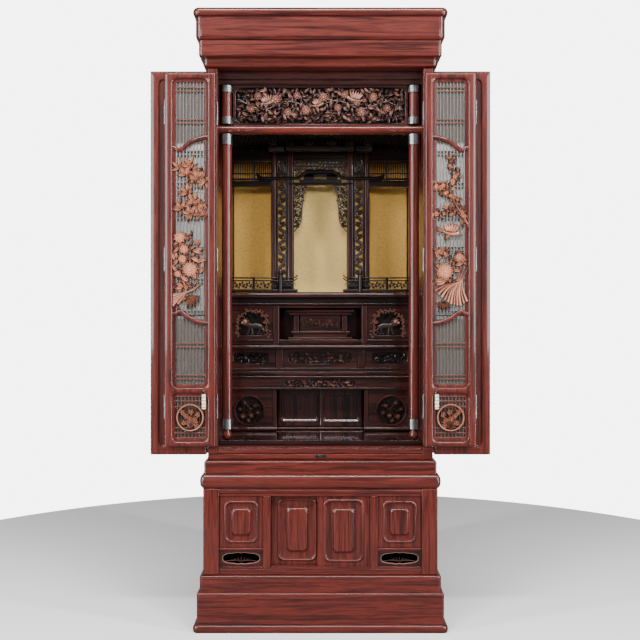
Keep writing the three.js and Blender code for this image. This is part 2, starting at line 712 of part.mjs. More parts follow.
function buildLowestTier() {
  const windowX = 203;
  const windowZ = 542;
  const windowRadius = 39;
  const front = rectangle(recessHalf, innerHalf, tierFoot, shelfBottom - gap);
  const sides = 12;
  front.holes.push(disc(windowX, windowZ, windowRadius, sides));
  const ring = disc(windowX, windowZ, windowRadius + 7, sides);
  ring.holes.push(disc(windowX, windowZ, windowRadius, sides));
  const y = sideTierFront;
  const kerb = [[y - 11, tierFoot], [y + 1, tierFoot], [y + 1, tierFoot + 12], [y - 4, tierFoot + 12],
    [y - 9, tierFoot + 8]];
  const parts = [
    plate(front, y, y + 10),
    plate(ring, y - 5, y + 1),
    box(recessHalf, recessHalf + 12, y + 9, centreTierFront + 40, tierFoot, shelfBottom - gap),
    box(recessHalf, recessHalf + 13, y - 4, y + 1, tierFoot + 11, shelfBottom - gap),
    molding(kerb, recessHalf, innerHalf),
  ];
  const sprays = 4;
  for (let i = 0; i < sprays; i += 1) {
    const angle = ((i + 0.5) / sprays) * Math.PI * 2;
    const x = windowX - 5 * Math.cos(angle);
    const z = windowZ - 5 * Math.sin(angle);
    parts.push(plate(leaf(x, z, windowRadius + 7, 24, angle), y + 1, y + 8));
  }
  addPair('window_front', join(parts), 'darkwood');

  const track = [[centreTierFront - 12, tierFoot], [centreTierFront + 30, tierFoot],
    [centreTierFront + 30, smallDoorBottom - gap], [centreTierFront - 4, smallDoorBottom - gap],
    [centreTierFront - 10, smallDoorBottom - 2]];
  addPiece('small_door_track', molding(track, -recessHalf + gap, recessHalf - gap), 'darkwood');
  const smallDoorTop = shelfBottom - 2;
  const frontY = centreTierFront;
  const rearY = frontY + 11;
  const smallDoor = (x0, x1, doorY) => {
    const panel = rectangle(x0 + 10, x1 - 10, smallDoorBottom + 16, smallDoorTop - 18, 10);
    const board = box(x0, x1, doorY, doorY + 10, smallDoorBottom, smallDoorTop);
    return board.subtract(plate(panel, doorY - 1, doorY + 4, 2));
  };
  addPiece('small_door_right', smallDoor(-3, recessHalf - 1, frontY), 'redwood');
  addPiece('small_door_left', smallDoor(-recessHalf + 1, 3, rearY), 'redwood');

  const apronFront = 235;
  const shelf = [
    box(-innerHalf, innerHalf, apronFront - 7, innerBack, shelfTop - 6, shelfTop),
    box(-innerHalf, innerHalf, apronFront, apronFront + 8, shelfBottom, shelfTop - 5),
    box(-innerHalf, innerHalf, apronFront - 3, apronFront + 1, shelfBottom, shelfBottom + 6),
  ];
  const scrolls = 9;
  for (let i = 0; i < scrolls; i += 1) {
    const x = (i - (scrolls - 1) / 2) * 22;
    shelf.push(plate(leaf(x - 10, 612, 24, 13, i % 2 ? 0.7 : 0.25), apronFront - 3, apronFront + 1));
  }
  addPiece('lower_shelf', join(shelf), 'darkwood');
}

// Middle tier: stepped mouldings, a panelled front and a long shelf
const middleTop = 730;

function buildMiddleTier() {
  const front = 270;
  const z0 = shelfTop + gap;
  const panelBottom = 663;
  const panelTop = 717;
  const outline = rectangle(-innerHalf, innerHalf, panelBottom - 1, panelTop + 1);
  outline.holes.push(rectangle(-91, 91, 674, 708, 8));
  for (const side of [-1, 1]) {
    outline.holes.push(rectangle(side > 0 ? 150 : -252, side > 0 ? 252 : -150, 675, 708, 8));
  }
  const parts = [
    box(-innerHalf, innerHalf, front - 14, front + 12, z0, z0 + 11),
    box(-132, 132, front - 22, front - 13, z0, z0 + 11),
    box(-innerHalf, innerHalf, front - 7, front + 12, z0 + 10, panelBottom),
    plate(outline, front, front + 7, 1),
    box(-innerHalf, innerHalf, front + 6.5, front + 12, panelBottom - 1, panelTop + 1),
    box(-innerHalf, innerHalf, front - 20, innerBack, panelTop, middleTop),
    box(-135, 135, front - 26, front - 19, panelTop, middleTop),
  ];
  for (const side of [-1, 1]) {
    parts.push(box(side * 118 - 10, side * 118 + 10, front - 6, front + 1, panelBottom - 1, panelTop + 1));
    for (let i = 0; i < 2; i += 1) {
      const spray = leaf(side * 200 + (i ? 5 : -45), 690, 42, 20, i ? 0.35 : -0.3);
      parts.push(plate(spray, front + 2, front + 7));
    }
  }
  for (let i = -1; i <= 1; i += 1) {
    parts.push(plate(leaf(i * 56 - 24, 690, 48, 20, i ? 0.35 : -0.3), front + 2, front + 7));
  }
  addPiece('middle_tier', join(parts), 'darkwood');
}

// Upper tier: two arched windows with a lion in each, and an open niche with a small table
const upperTierTop = 844;

function buildUpperTier() {
  const front = 290;
  const z0 = middleTop + gap;
  const outline = rectangle(-innerHalf, innerHalf, z0, upperTierTop - gap);
  const archTop = 835;
  const niche = new THREE.Path();
  niche.moveTo(-118, z0 + 12).lineTo(118, z0 + 12).lineTo(118, archTop).lineTo(-118, archTop);
  outline.holes.push(niche);
  const parts = [];
  for (const side of [-1, 1]) {
    const cx = side * 197;
    const arch = new THREE.Path();
    arch.moveTo(cx - 44, 756).lineTo(cx + 44, 756).lineTo(cx + 44, 806);
    arch.absarc(cx + 22, 806, 22, 0, Math.PI / 2);
    arch.lineTo(cx - 22, 828);
    arch.absarc(cx - 22, 806, 22, Math.PI / 2, Math.PI);
    outline.holes.push(arch);
    parts.push(box(cx - 52, cx + 52, front + 9, front + 15, 750, 838));
    parts.push(plate(lion(cx, 760, 60, side), front + 3, front + 10));
    parts.push(box(side * 128 - 9, side * 128 + 9, front - 8, front + 1, z0, upperTierTop - gap));
    for (let i = -1; i <= 1; i += 1) {
      const foliage = leaf(cx + i * 30 - 12, 835 - Math.abs(i) * 12, 26, 12, -i * 0.7);
      parts.push(plate(foliage, front - 3, front + 10));
    }
  }
  const apron = wave(118, -118, 10, (t) => z0 + 15 + 3 * Math.cos(t * Math.PI * 10));
  const fringe = [[-118, z0 + 2], [118, z0 + 2], ...apron].map(([x, z]) => new THREE.Vector2(x, z));
  parts.push(plate(new THREE.Shape(fringe), front - 4, front + 1));
  addPiece('upper_tier', join([plate(outline, front, front + 10, 2), ...parts]), 'darkwood');

  const tableY = 325;
  const tableBack = 400;
  const table = [
    box(-100, 100, tableY - 4, tableBack, 821, 832),
    box(-92, 92, tableY, tableBack - 4, 813, 822),
    box(-60, 60, tableY + 12, tableBack - 12, 767, 814),
    box(-86, 86, tableY, tableBack - 4, 760, 768),
    box(-94, 94, tableY - 4, tableBack, z0, 750),
    box(-80, 80, tableY + 4, tableBack - 8, 749, 761),
    plate(rectangle(-52, 52, 780, 806, 8), tableY + 8, tableY + 13, 2),
  ];
  for (const side of [-1, 1]) {
    table.push(box(side * 71 - 8, side * 71 + 8, tableY + 2, tableY + 18, 767, 814));
  }
  addPiece('niche_table', join(table), 'darkwood');
}

// A crouching lion in X and Z: head with a mane, arched back, raised tail and four legs.
function lion(cx, z0, size, facing) {
  const points = [
    [-0.5, 0], [-0.34, 0], [-0.3, 0.3], [0.05, 0.3], [0.1, 0], [0.28, 0],
    [0.3, 0.32], [0.62, 0.36], [0.66, 0.62], [0.46, 0.82], [0.2, 0.78], [0.06, 0.56],
    [-0.3, 0.6], [-0.44, 0.92], [-0.68, 0.86], [-0.54, 0.4],
  ];
  const outline = points.map(([u, v]) => new THREE.Vector2(cx + facing * size * u, z0 + size * v));
  return new THREE.Shape(facing > 0 ? outline : outline.reverse());
}

// The palace: a railed platform, posts and beams with openwork, a gilded back and a bracketed ceiling
const platformTop = 881;
const palaceFront = 300;
const ceilingBottom = 1302;
const rafterDrop = 7;

function buildPlatform() {
  const z0 = upperTierTop;
  const parts = [
    box(-innerHalf, innerHalf, 278, innerBack, z0, z0 + 5),
    box(-innerHalf, innerHalf, 294, innerBack, z0 + 4, z0 + 20),
    box(-innerHalf, innerHalf, 276, innerBack, z0 + 19, platformTop),
    box(-133, 133, 266, 280, z0 + 19, platformTop),
  ];
  addPiece('palace_platform', join(parts), 'darkwood');
}

function buildRailing() {
  const y0 = 283;
  const y1 = 289;
  const z = platformTop + gap;
  const newelX = 115;
  const railEnd = 66;
  const infill = wave(railEnd + 6, innerHalf - 2, 8, (t) => z + 20 + 8 * Math.cos(t * Math.PI * 8));
  const tip = (height) => plate(
    strip([[newelX, height], [railEnd + 10, height], [railEnd, height + 6]], 4), y0, y1,
  );
  const parts = [
    box(railEnd, innerHalf, y0 - 1, y1 + 1, z, z + 9),
    box(newelX, innerHalf, y0, y1, z + 31, z + 34.5),
    box(newelX, innerHalf, y0 - 1, y1 + 1, z + 39, z + 43),
    tip(z + 33),
    tip(z + 41),
    plate(strip(infill, 4.5), y0 + 1, y1 - 1),
    box(192, 199, y0, y1, z + 8, z + 42),
    turned(newelX, (y0 + y1) / 2, [[0, z], [9, z], [9, z + 50], [5, z + 54], [8, z + 60], [0, z + 72]], 6),
  ];
  addPair('railing', join(parts), 'darkwood');
}

function buildPalaceFrame() {
  const front = palaceFront;
  const back = palaceFront + 12;
  const z = platformTop + gap;
  const postTop = ceilingBottom - rafterDrop - gap;
  const parts = [];
  for (const side of [-1, 1]) {
    const at = (x0, x1, ...rest) => (side > 0 ? box(x0, x1, ...rest) : box(-x1, -x0, ...rest));
    parts.push(at(128, 143, front - 2, back + 3, z, postTop));
    parts.push(at(77, 97, front - 2, back + 3, z, postTop));
    parts.push(at(140, innerHalf, front - 2, back, 1189, 1209));
    parts.push(at(140, innerHalf, front, back, 1262, 1270));
    parts.push(at(189, 195, front, back, 1208, 1263));
    const bars = 6;
    for (let i = 0; i < bars; i += 1) {
      const x = 156 + i * 18;
      parts.push(at(x - 1, x + 1, front + 4, front + 7, 1208, 1263));
    }
    const vineLeaves = 7;
    for (let i = 0; i < vineLeaves; i += 1) {
      const turn = i % 2 ? -1 : 1;
      const height = z + 14 + i * (326 / vineLeaves);
      const outline = leaf(side * (112.5 - turn * 17), height, 50, 15, Math.PI / 2 - turn * side * 0.75);
      parts.push(plate(outline, front + 2, front + 8));
    }
    const bracket = [[97, 1196], [52, 1196], [60, 1172], [74, 1150], [84, 1110], [88, 1062], [97, 1058]];
    const outline = bracket.map(([x, height]) => new THREE.Vector2(side * x, height));
    parts.push(plate(new THREE.Shape(side > 0 ? outline : outline.reverse()), front + 3, front + 8));
  }
  const lift = (t) => 1214 + 17 * Math.exp(-(((t - 0.5) / 0.16) ** 4)) + 6 * Math.abs(t * 2 - 1) ** 8;
  parts.push(plate(strip(wave(-183, 183, 10, lift), 9), front - 8, front + 1));
  parts.push(box(-97, 97, front - 2, back, 1193, 1200));
  const ranma = rectangle(-78, 78, 1224, 1270);
  for (let i = -2; i <= 2; i += 1) ranma.holes.push(leaf(i * 28 - 12, 1247, 25, 26, 0));
  parts.push(plate(ranma, front + 2, back));
  for (const side of [-1, 1]) {
    parts.push(box(side * 112 - 16, side * 112 + 16, front + 2, back, 1222, 1232));
    parts.push(box(side * 112 - 16, side * 112 + 16, front + 2, back, 1264, 1272));
  }
  addPiece('palace_frame', join(parts), 'ebony');
  addPiece('gold_back_panel', box(-innerHalf + 2, innerHalf - 2, 446, 452, z, ceilingBottom - gap), 'gold');
}

function buildCeiling() {
  const parts = [box(-innerHalf, innerHalf, 75, innerBack, ceilingBottom, ceilingBottom + 8)];
  const y0 = 205;
  for (const x of [32, 84, 134]) {
    for (const side of [-1, 1]) {
      parts.push(box(side * x - 12, side * x + 12, y0, y0 + 24, 1290, ceilingBottom + 1));
    }
  }
  parts.push(box(-97, 97, y0 + 2, y0 + 22, 1277, 1291));
  for (const side of [-1, 1]) parts.push(box(side * 124 - 23, side * 124 + 23, y0 + 3, y0 + 21, 1275, 1291));
  const rafters = 5;
  for (let i = 0; i < rafters; i += 1) {
    const x = (i - (rafters - 1) / 2) * 104;
    parts.push(box(x - 4, x + 4, 240, 440, ceilingBottom - rafterDrop, ceilingBottom + 1));
  }
  addPiece('altar_ceiling', join(parts), 'ebony');
}

buildBase();
buildLowerCabinet();
buildPlinth();
buildUpperCase();
buildFrontFrame();
buildOuterLeaves();
buildLatticeLeaves();
buildLowestTier();
buildMiddleTier();
buildUpperTier();
buildPlatform();
buildRailing();
buildPalaceFrame();
buildCeiling();

export default group;
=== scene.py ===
# %% [markdown]
# # Dressing a household altar cabinet
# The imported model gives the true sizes, the moving doors and the main shapes. This lesson gives each of
# them its finish, and replaces the plain solids by finer ones: rolled mouldings, bevelled door frames,
# slender lattices, carved flowers, birds and leaves, and the small palace inside.
# Everything is drawn in millimetres from the case's front face, and becomes metres when it is made.

# %% Load the frame
import json
import math
import random

import bmesh
import bpy
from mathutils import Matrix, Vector


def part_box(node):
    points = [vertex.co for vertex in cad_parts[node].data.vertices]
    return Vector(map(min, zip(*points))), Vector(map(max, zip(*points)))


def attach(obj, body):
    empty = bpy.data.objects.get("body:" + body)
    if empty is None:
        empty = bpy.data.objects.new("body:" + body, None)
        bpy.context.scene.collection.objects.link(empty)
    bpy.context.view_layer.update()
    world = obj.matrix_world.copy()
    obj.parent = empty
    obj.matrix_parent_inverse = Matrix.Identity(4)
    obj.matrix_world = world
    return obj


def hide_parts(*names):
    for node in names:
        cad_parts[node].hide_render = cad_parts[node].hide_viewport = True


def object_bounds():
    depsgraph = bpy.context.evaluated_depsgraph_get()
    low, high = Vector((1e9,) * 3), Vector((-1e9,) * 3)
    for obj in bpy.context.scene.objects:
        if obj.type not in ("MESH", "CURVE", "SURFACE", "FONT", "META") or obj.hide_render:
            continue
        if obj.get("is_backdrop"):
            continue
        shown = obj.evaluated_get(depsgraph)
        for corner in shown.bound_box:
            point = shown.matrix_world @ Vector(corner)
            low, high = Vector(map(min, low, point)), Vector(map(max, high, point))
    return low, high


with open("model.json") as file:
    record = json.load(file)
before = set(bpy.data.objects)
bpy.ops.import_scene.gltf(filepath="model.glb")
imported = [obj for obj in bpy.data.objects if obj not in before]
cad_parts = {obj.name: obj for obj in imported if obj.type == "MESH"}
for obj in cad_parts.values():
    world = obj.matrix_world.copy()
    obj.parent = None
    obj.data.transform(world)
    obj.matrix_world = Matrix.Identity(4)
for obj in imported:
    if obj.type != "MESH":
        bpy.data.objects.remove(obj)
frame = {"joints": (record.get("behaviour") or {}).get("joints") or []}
cad_low, cad_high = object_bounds()
print("the model measures", [round(c, 3) for c in cad_high - cad_low])

# %% [markdown]
# ## Drawing in millimetres
# A cabinet maker thinks in millimetres from one face. `span` reads a node's extent from the frame in that
# way, so a finer piece is always fitted to the solid that it stands for, and follows it if it changes.

# %% Millimetres from the case's front face
MM = 0.001
CASE_FRONT = -220.0
ROOT = "cabinet"


def span(node):
    """x0, x1, y0, y1, z0, z1 of a node, in millimetres from the case's front face."""
    low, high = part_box(node)
    return (low.x / MM, high.x / MM, low.y / MM - CASE_FRONT, high.y / MM - CASE_FRONT,
            low.z / MM, high.z / MM)


def metres(x, y, z):
    """A place in millimetres from the case's front face, as a place in metres."""
    return (x * MM, (y + CASE_FRONT) * MM, z * MM)


print("the case is", [round(v) for v in span("side_wall_right")])

# %% [markdown]
# ## Shells
# Most pieces here are lofts: closed rings of points joined in order, like the ribs of a hull. A bevelled
# board, a raised panel, a leaf and a turned post are all lofts with different rings. It could be done with
# booleans, but lofts keep every edge where it is wanted and stay light.


class Work:
    """Closed shells in millimetres that will become one mesh."""

    def __init__(self):
        self.points, self.faces, self.finishes = [], [], []


def loft(work, rings, finish=0, closed=False):
    """Joins rings of equal length. A closed loft comes back to its first ring; an open one is capped."""
    start, count, size = len(work.points), len(rings), len(rings[0])
    for ring_points in rings:
        work.points.extend(ring_points)
    made = []
    for level in range(count if closed else count - 1):
        a, b = start + level * size, start + ((level + 1) % count) * size
        made.extend((a + i, a + (i + 1) % size, b + (i + 1) % size, b + i) for i in range(size))
    if not closed:
        last = start + (count - 1) * size
        made.append(tuple(range(start + size - 1, start - 1, -1)))
        made.append(tuple(range(last, last + size)))
    work.faces.extend(made)
    work.finishes.extend([finish] * len(made))


def mark_relief(mesh):
    """Stores how far each point stands out to the front, from 0 to 1, for the carved finish's painted shade and
    highlight.
    """
    depth = [vertex.co.y for vertex in mesh.vertices]
    back, front = max(depth), min(depth)
    relief = mesh.attributes.new("relief", "FLOAT", "POINT")
    relief.data.foreach_set("value", [(back - y) / max(back - front, 1e-6) for y in depth])


def dress(name, mesh, finishes, body, stands_for=(), carved=False):
    """Turns a mesh in metres into a finished piece on a body."""
    for finish in finishes:
        mesh.materials.append(finish)
    tidy = bmesh.new()
    tidy.from_mesh(mesh)
    bmesh.ops.recalc_face_normals(tidy, faces=tidy.faces)
    tidy.to_mesh(mesh)
    tidy.free()
    mesh.shade_smooth()
    mesh.set_sharp_from_angle(angle=math.radians(50))
    if carved:
        mark_relief(mesh)
    piece = bpy.data.objects.new(name, mesh)
    bpy.context.scene.collection.objects.link(piece)
    even = piece.modifiers.new("Even shading", "WEIGHTED_NORMAL")
    even.keep_sharp = True
    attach(piece, body)
    if stands_for:
        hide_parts(*stands_for)
    print(f"{name}: {len(mesh.polygons)} faces on {body}")
    return piece


def make_piece(name, work, finishes, body=ROOT, stands_for=(), place=None, carved=False):
    """Makes a work into a mesh. place may turn or mirror each point, in millimetres."""
    points = [place(p) for p in work.points] if place else work.points
    mesh = bpy.data.meshes.new(name)
    mesh.from_pydata([metres(*p) for p in points], [], work.faces)
    mesh.polygons.foreach_set("material_index", work.finishes)
    return dress(name, mesh, finishes, body, stands_for, carved)


def dressed(node, work, finishes, body=ROOT, place=None):
    """Makes a work into the piece that stands for a node."""
    return make_piece(node + "_dressed", work, finishes, body, [node], place)


def mirror(point):
    return (-point[0], point[1], point[2])


def on_side(side, near, far):
    """x0, x1 of something between near and far from the middle, on the right (1) or the left (-1)."""
    return (near, far) if side > 0 else (-far, -near)


def circle(cx, cz, radius, count):
    """A closed path round a circle in X and Z."""
    return [(cx + radius * math.cos(math.tau * i / count), cz + radius * math.sin(math.tau * i / count))
            for i in range(count + 1)]


# %% [markdown]
# ## Rosewood
# The whole cabinet is veneered and built in polished red rosewood: a red ground, long dark stripes that
# wander along the board, short open pores, and a clear lacquer over all. Noise that is stretched along the
# grain makes the stripes and pores; only the direction differs between rails and stiles.

# %% Nodes for a finish
def new_finish(name):
    material = bpy.data.materials.new(name)
    material.use_nodes = True
    return material, material.node_tree, material.node_tree.nodes["Principled BSDF"]


def add_node(tree, kind, **settings):
    made = tree.nodes.new(kind)
    for label, value in settings.items():
        setattr(made, label, value)
    return made


def fill(node, **values):
    """Sets a node's inputs by name. An underscore stands for a space."""
    for label, value in values.items():
        node.inputs[label.replace("_", " ")].default_value = value


def wire(tree, *links):
    """Links each (node, output, node, input)."""
    for source, output, target, entry in links:
        tree.links.new(source.outputs[output], target.inputs[entry])


def stretched_noise(tree, scale, detail, distortion=0.0):
    """Noise on Object coordinates, with its own scale along each axis, in waves per metre."""
    coords = add_node(tree, "ShaderNodeTexCoord")
    stretch = add_node(tree, "ShaderNodeMapping")
    noise = add_node(tree, "ShaderNodeTexNoise")
    fill(stretch, Scale=scale)
    fill(noise, Scale=1.0, Detail=detail, Distortion=distortion)
    wire(tree, (coords, "Object", stretch, "Vector"), (stretch, "Vector", noise, "Vector"))
    return noise.outputs[0]


def ramp(tree, factor, stops):
    """A colour ramp through stops of (place, colour)."""
    made = add_node(tree, "ShaderNodeValToRGB")
    while len(made.color_ramp.elements) < len(stops):
        made.color_ramp.elements.new(0.5)
    for element, (place, colour) in zip(made.color_ramp.elements, stops):
        element.position = place
        element.color = (*colour, 1.0)
    tree.links.new(factor, made.inputs["Fac"])
    return made.outputs["Color"]


def tone(tree, shader, colour, noise, dark_at, dark, clear_at, amount):
    """Darkens a colour where a noise is low, and gives it to the shader."""
    shade = ramp(tree, noise, [(dark_at, dark), (clear_at, (1.0, 1.0, 1.0))])
    made = add_node(tree, "ShaderNodeMix", data_type="RGBA", blend_type="MULTIPLY")
    made.inputs[0].default_value = amount
    tree.links.new(colour, made.inputs[6])
    tree.links.new(shade, made.inputs[7])
    tree.links.new(made.outputs[2], shader.inputs["Base Color"])


def roughen(tree, shader, noise, low, high):
    """Gives the shader a roughness from low to high, along the middle range of a noise."""
    made = add_node(tree, "ShaderNodeMapRange")
    fill(made, From_Min=0.3, From_Max=0.7, To_Min=low, To_Max=high)
    tree.links.new(noise, made.inputs["Value"])
    tree.links.new(made.outputs[0], shader.inputs["Roughness"])


def bump(tree, shader, height, strength, distance):
    made = add_node(tree, "ShaderNodeBump")
    fill(made, Strength=strength, Distance=distance)
    tree.links.new(height, made.inputs["Height"])
    tree.links.new(made.outputs["Normal"], shader.inputs["Normal"])


# %% Rosewood along each direction
def grain_scale(along, across_waves, along_waves):
    return tuple(along_waves if axis == along else across_waves for axis in "xyz")


def rosewood(name, along, light, middle, dark, roughness, coat, slot="redwood"):
    material, tree, shader = new_finish(name)
    stripes = stretched_noise(tree, grain_scale(along, 85, 3.4), 6, 1.4)
    pores = stretched_noise(tree, grain_scale(along, 620, 26), 2)
    wood = ramp(tree, stripes, [(0.33, dark), (0.45, middle), (0.57, light), (0.72, middle)])
    tone(tree, shader, wood, pores, 0.36, (0.40, 0.30, 0.28), 0.52, 0.65)
    roughen(tree, shader, stripes, roughness - 0.05, roughness + 0.08)
    fill(shader, Coat_Weight=coat, Coat_Roughness=0.07, Specular_IOR_Level=0.22)
    bump(tree, shader, pores, 0.05, 0.0002)
    return material


RED = dict(light=(0.104, 0.0150, 0.0095), middle=(0.066, 0.0098, 0.0070), dark=(0.032, 0.0056, 0.0045))
BROWN = dict(light=(0.042, 0.009, 0.0065), middle=(0.022, 0.0055, 0.0045), dark=(0.009, 0.003, 0.003),
             slot="darkwood")
BLACK = dict(light=(0.012, 0.006, 0.005), middle=(0.006, 0.0035, 0.003), dark=(0.003, 0.002, 0.002),
             slot="ebony")
red_rail = rosewood("red rosewood, grain across", "x", roughness=0.34, coat=0.6, **RED)
red_stile = rosewood("red rosewood, grain upright", "z", roughness=0.34, coat=0.6, **RED)
panel_stile = rosewood("red rosewood, quiet panel", "z", (0.070, 0.0125, 0.0095), (0.046, 0.0085, 0.007),
                       (0.024, 0.005, 0.0045), 0.34, 0.7)
brown_rail = rosewood("brown rosewood, grain across", "x", roughness=0.30, coat=0.6, **BROWN)
brown_stile = rosewood("brown rosewood, grain upright", "z", roughness=0.30, coat=0.6, **BROWN)
ebony_rail = rosewood("ebony, grain across", "x", roughness=0.32, coat=0.35, **BLACK)
ebony_stile = rosewood("ebony, grain upright", "z", roughness=0.32, coat=0.35, **BLACK)
print("seven woods are ready")

# %% [markdown]
# ## Carved wood, gold leaf, gauze and metal
# Carving is painted paler on the ridges, a painted highlight, and near-black in the depths, painted shade. The
# piece stores how far each point stands out, and the finish reads that. Gold leaf is metal with a faint
# crinkle, the gauze is a fine weave, and the column collars are drawn metal with partly painted reflection streaks.

# %% Carved finishes
def carved_wood(name, deep, half_way, ridge, roughness=0.38):
    material, tree, shader = new_finish(name)
    relief = add_node(tree, "ShaderNodeAttribute", attribute_name="relief")
    # Painted shade and highlight: near-black in the depths and pale on the ridges, by the stored relief.
    colour = ramp(tree, relief.outputs["Fac"], [(0.42, deep), (0.68, half_way), (0.96, ridge)])
    cuts = stretched_noise(tree, (260, 260, 260), 3, 0.6)
    tone(tree, shader, colour, cuts, 0.34, (0.45, 0.42, 0.42), 0.62, 0.7)
    roughen(tree, shader, cuts, roughness - 0.08, roughness + 0.12)
    bump(tree, shader, cuts, 0.3, 0.0006)
    return material


# In each carved finish the first colour is painted shade for the depths and the last a painted highlight for the
# ridges.
salmon_carving = carved_wood("pale carved wood", (0.004, 0.002, 0.002), (0.085, 0.025, 0.014), (0.52, 0.20, 0.11))
brown_carving = carved_wood("brown carved wood", (0.004, 0.0025, 0.0025), (0.050, 0.017, 0.012), (0.32, 0.14, 0.10))
dark_carving = carved_wood("dark carved wood", (0.003, 0.002, 0.002), (0.008, 0.005, 0.004), (0.05, 0.030, 0.025),
                           0.26)


# %% Gold, gauze, metal and tassel paper
def gold_leaf(name, pale, deep):
    material, tree, shader = new_finish(name)
    flecks = stretched_noise(tree, (330, 330, 330), 6, 0.4)
    clouds = stretched_noise(tree, (9, 9, 6), 2)
    leaf_colour = ramp(tree, flecks, [(0.30, deep), (0.50, pale), (0.72, pale)])
    tone(tree, shader, leaf_colour, clouds, 0.3, (0.80, 0.78, 0.72), 0.7, 0.6)
    fill(shader, Metallic=0.35)
    roughen(tree, shader, flecks, 0.42, 0.65)
    bump(tree, shader, flecks, 0.25, 0.0007)
    return material


side_gold = gold_leaf("gold leaf", (0.90, 0.53, 0.13), (0.60, 0.33, 0.07))
middle_gold = gold_leaf("pale gold leaf", (1.0, 0.72, 0.27), (0.78, 0.50, 0.14))


ZONES_LOW, ZONES_HIGH = 0.45, 1.45
LOWER_BORDER, UPPER_BORDER = (0.352, 0.358), (0.80, 0.806)


def height_zones(tree, stops):
    """Colours that change with the height: 0 is ZONES_LOW and 1 is ZONES_HIGH."""
    coords = add_node(tree, "ShaderNodeTexCoord")
    parts = add_node(tree, "ShaderNodeSeparateXYZ")
    height = add_node(tree, "ShaderNodeMapRange")
    fill(height, From_Min=ZONES_LOW, From_Max=ZONES_HIGH)
    wire(tree, (coords, "Object", parts, "Vector"), (parts, "Z", height, "Value"))
    return ramp(tree, height.outputs[0], stops)


def gauze_cloth(name):
    """A grey gauze whose middle, between the two curved borders, is paler."""
    material, tree, shader = new_finish(name)
    foot, dim, pale = (0.05, 0.03, 0.025), (0.095, 0.08, 0.07), (0.42, 0.41, 0.39)
    zones = height_zones(tree, [(0.0, foot), (0.168, foot), (0.172, dim), (LOWER_BORDER[0], dim),
                                (LOWER_BORDER[1], pale), (UPPER_BORDER[0], pale), (UPPER_BORDER[1], dim)])
    threads = stretched_noise(tree, (1500, 1500, 60), 1)
    tone(tree, shader, zones, threads, 0.4, (0.55, 0.55, 0.55), 0.6, 0.5)
    fill(shader, Roughness=0.85)
    bump(tree, shader, threads, 0.3, 0.0002)
    return material


def drawn_metal(name, colour, shade):
    material, tree, shader = new_finish(name)
    lines = stretched_noise(tree, (900, 900, 30), 2)
    # Streaks along the metal, darker and paler: partly its drawing lines, partly painted reflection of the stripes it
    # mirrors.
    tree.links.new(ramp(tree, lines, [(0.35, shade), (0.6, colour)]), shader.inputs["Base Color"])
    fill(shader, Metallic=1.0)
    roughen(tree, shader, lines, 0.22, 0.42)
    bump(tree, shader, lines, 0.12, 0.0002)
    return material


def tassel_paper(name):
    material, tree, shader = new_finish(name)
    threads = stretched_noise(tree, (900, 900, 220), 2)
    tree.links.new(ramp(tree, threads, [(0.35, (0.45, 0.34, 0.20)), (0.55, (0.82, 0.75, 0.58))]),
                   shader.inputs["Base Color"])
    fill(shader, Roughness=0.7)
    bump(tree, shader, threads, 0.4, 0.0003)
    return material


def bar_wood(name, edge, middle):
    """Lattice bars coloured differently between the curved borders than beyond them, as painted highlight on the
    uprights and painted shade on the cross bars.
    """
    material, tree, shader = new_finish(name)
    zones = height_zones(tree, [(LOWER_BORDER[0], edge), (LOWER_BORDER[1], middle),
                                (UPPER_BORDER[0], middle), (UPPER_BORDER[1], edge)])
    pores = stretched_noise(tree, (700, 700, 90), 2)
    tone(tree, shader, zones, pores, 0.36, (0.7, 0.66, 0.63), 0.55, 0.6)
    roughen(tree, shader, pores, 0.30, 0.45)
    fill(shader, Coat_Weight=0.6)
    bump(tree, shader, pores, 0.2, 0.0003)
    return material


# Painted shade: the cross bars are near-black between the curved borders, where they lie behind the near uprights.
cross_bar_wood = bar_wood("cross bar wood with painted middle shade", (0.075, 0.022, 0.013), (0.006, 0.004, 0.004))
# Painted highlight: the uprights are paler and greyer between the curved borders.
upright_wood = bar_wood("upright bar wood with painted middle highlight", (0.055, 0.04, 0.034), (0.085, 0.07, 0.062))
gauze = gauze_cloth("grey gauze")
grey_metal = drawn_metal("grey drawn metal", (0.30, 0.30, 0.31), (0.12, 0.12, 0.13))
dark_metal = drawn_metal("blackened metal", (0.12, 0.11, 0.10), (0.05, 0.045, 0.04))
paper = tassel_paper("tassel paper")
polished_floor = rosewood("polished floor", "x", (0.024, 0.006, 0.005), (0.014, 0.004, 0.004),
                          (0.007, 0.003, 0.003), 0.08, 1.0, "darkwood")
print("carved wood, gold, gauze and metal are ready")

# %% [markdown]
# ## Base, slab and crown
# Broad boards with shaped edges carry the cabinet and crown it. Each is one loft upwards: a ring that
# follows the front and the two ends, drawn in and out by the edge profile. The rolled edges catch the
# light in one clean line, which a faceted solid can't give.

# %% Boards with a shaped edge
def board_ring(half, front, back, corner, out, z):
    reach, steps = corner + out, 8
    right = []
    for i in range(steps + 1):
        angle = math.pi / 2 * (1 - i / steps)
        right.append((half - corner + reach * math.cos(angle), front + corner - reach * math.sin(angle), z))
    left = [mirror(p) for p in reversed(right)]
    return [(-(half + out), back, z), *left, *right, (half + out, back, z)]


def rolled(z0, z1, depth):
    """A half-round edge profile of (how far out, height)."""
    radius, steps = (z1 - z0) / 2, 12
    angles = [-math.pi / 2 + math.pi * i / steps for i in range(steps + 1)]
    return [(depth * (math.cos(a) - 1), z0 + radius * (1 + math.sin(a))) for a in angles]


def rounded_top(z0, z1):
    """An upright edge that rolls back at the top."""
    return [(0, z0), (0, z1 - 5), (-0.7, z1 - 2.8), (-2.2, z1 - 0.9), (-4.5, z1)]


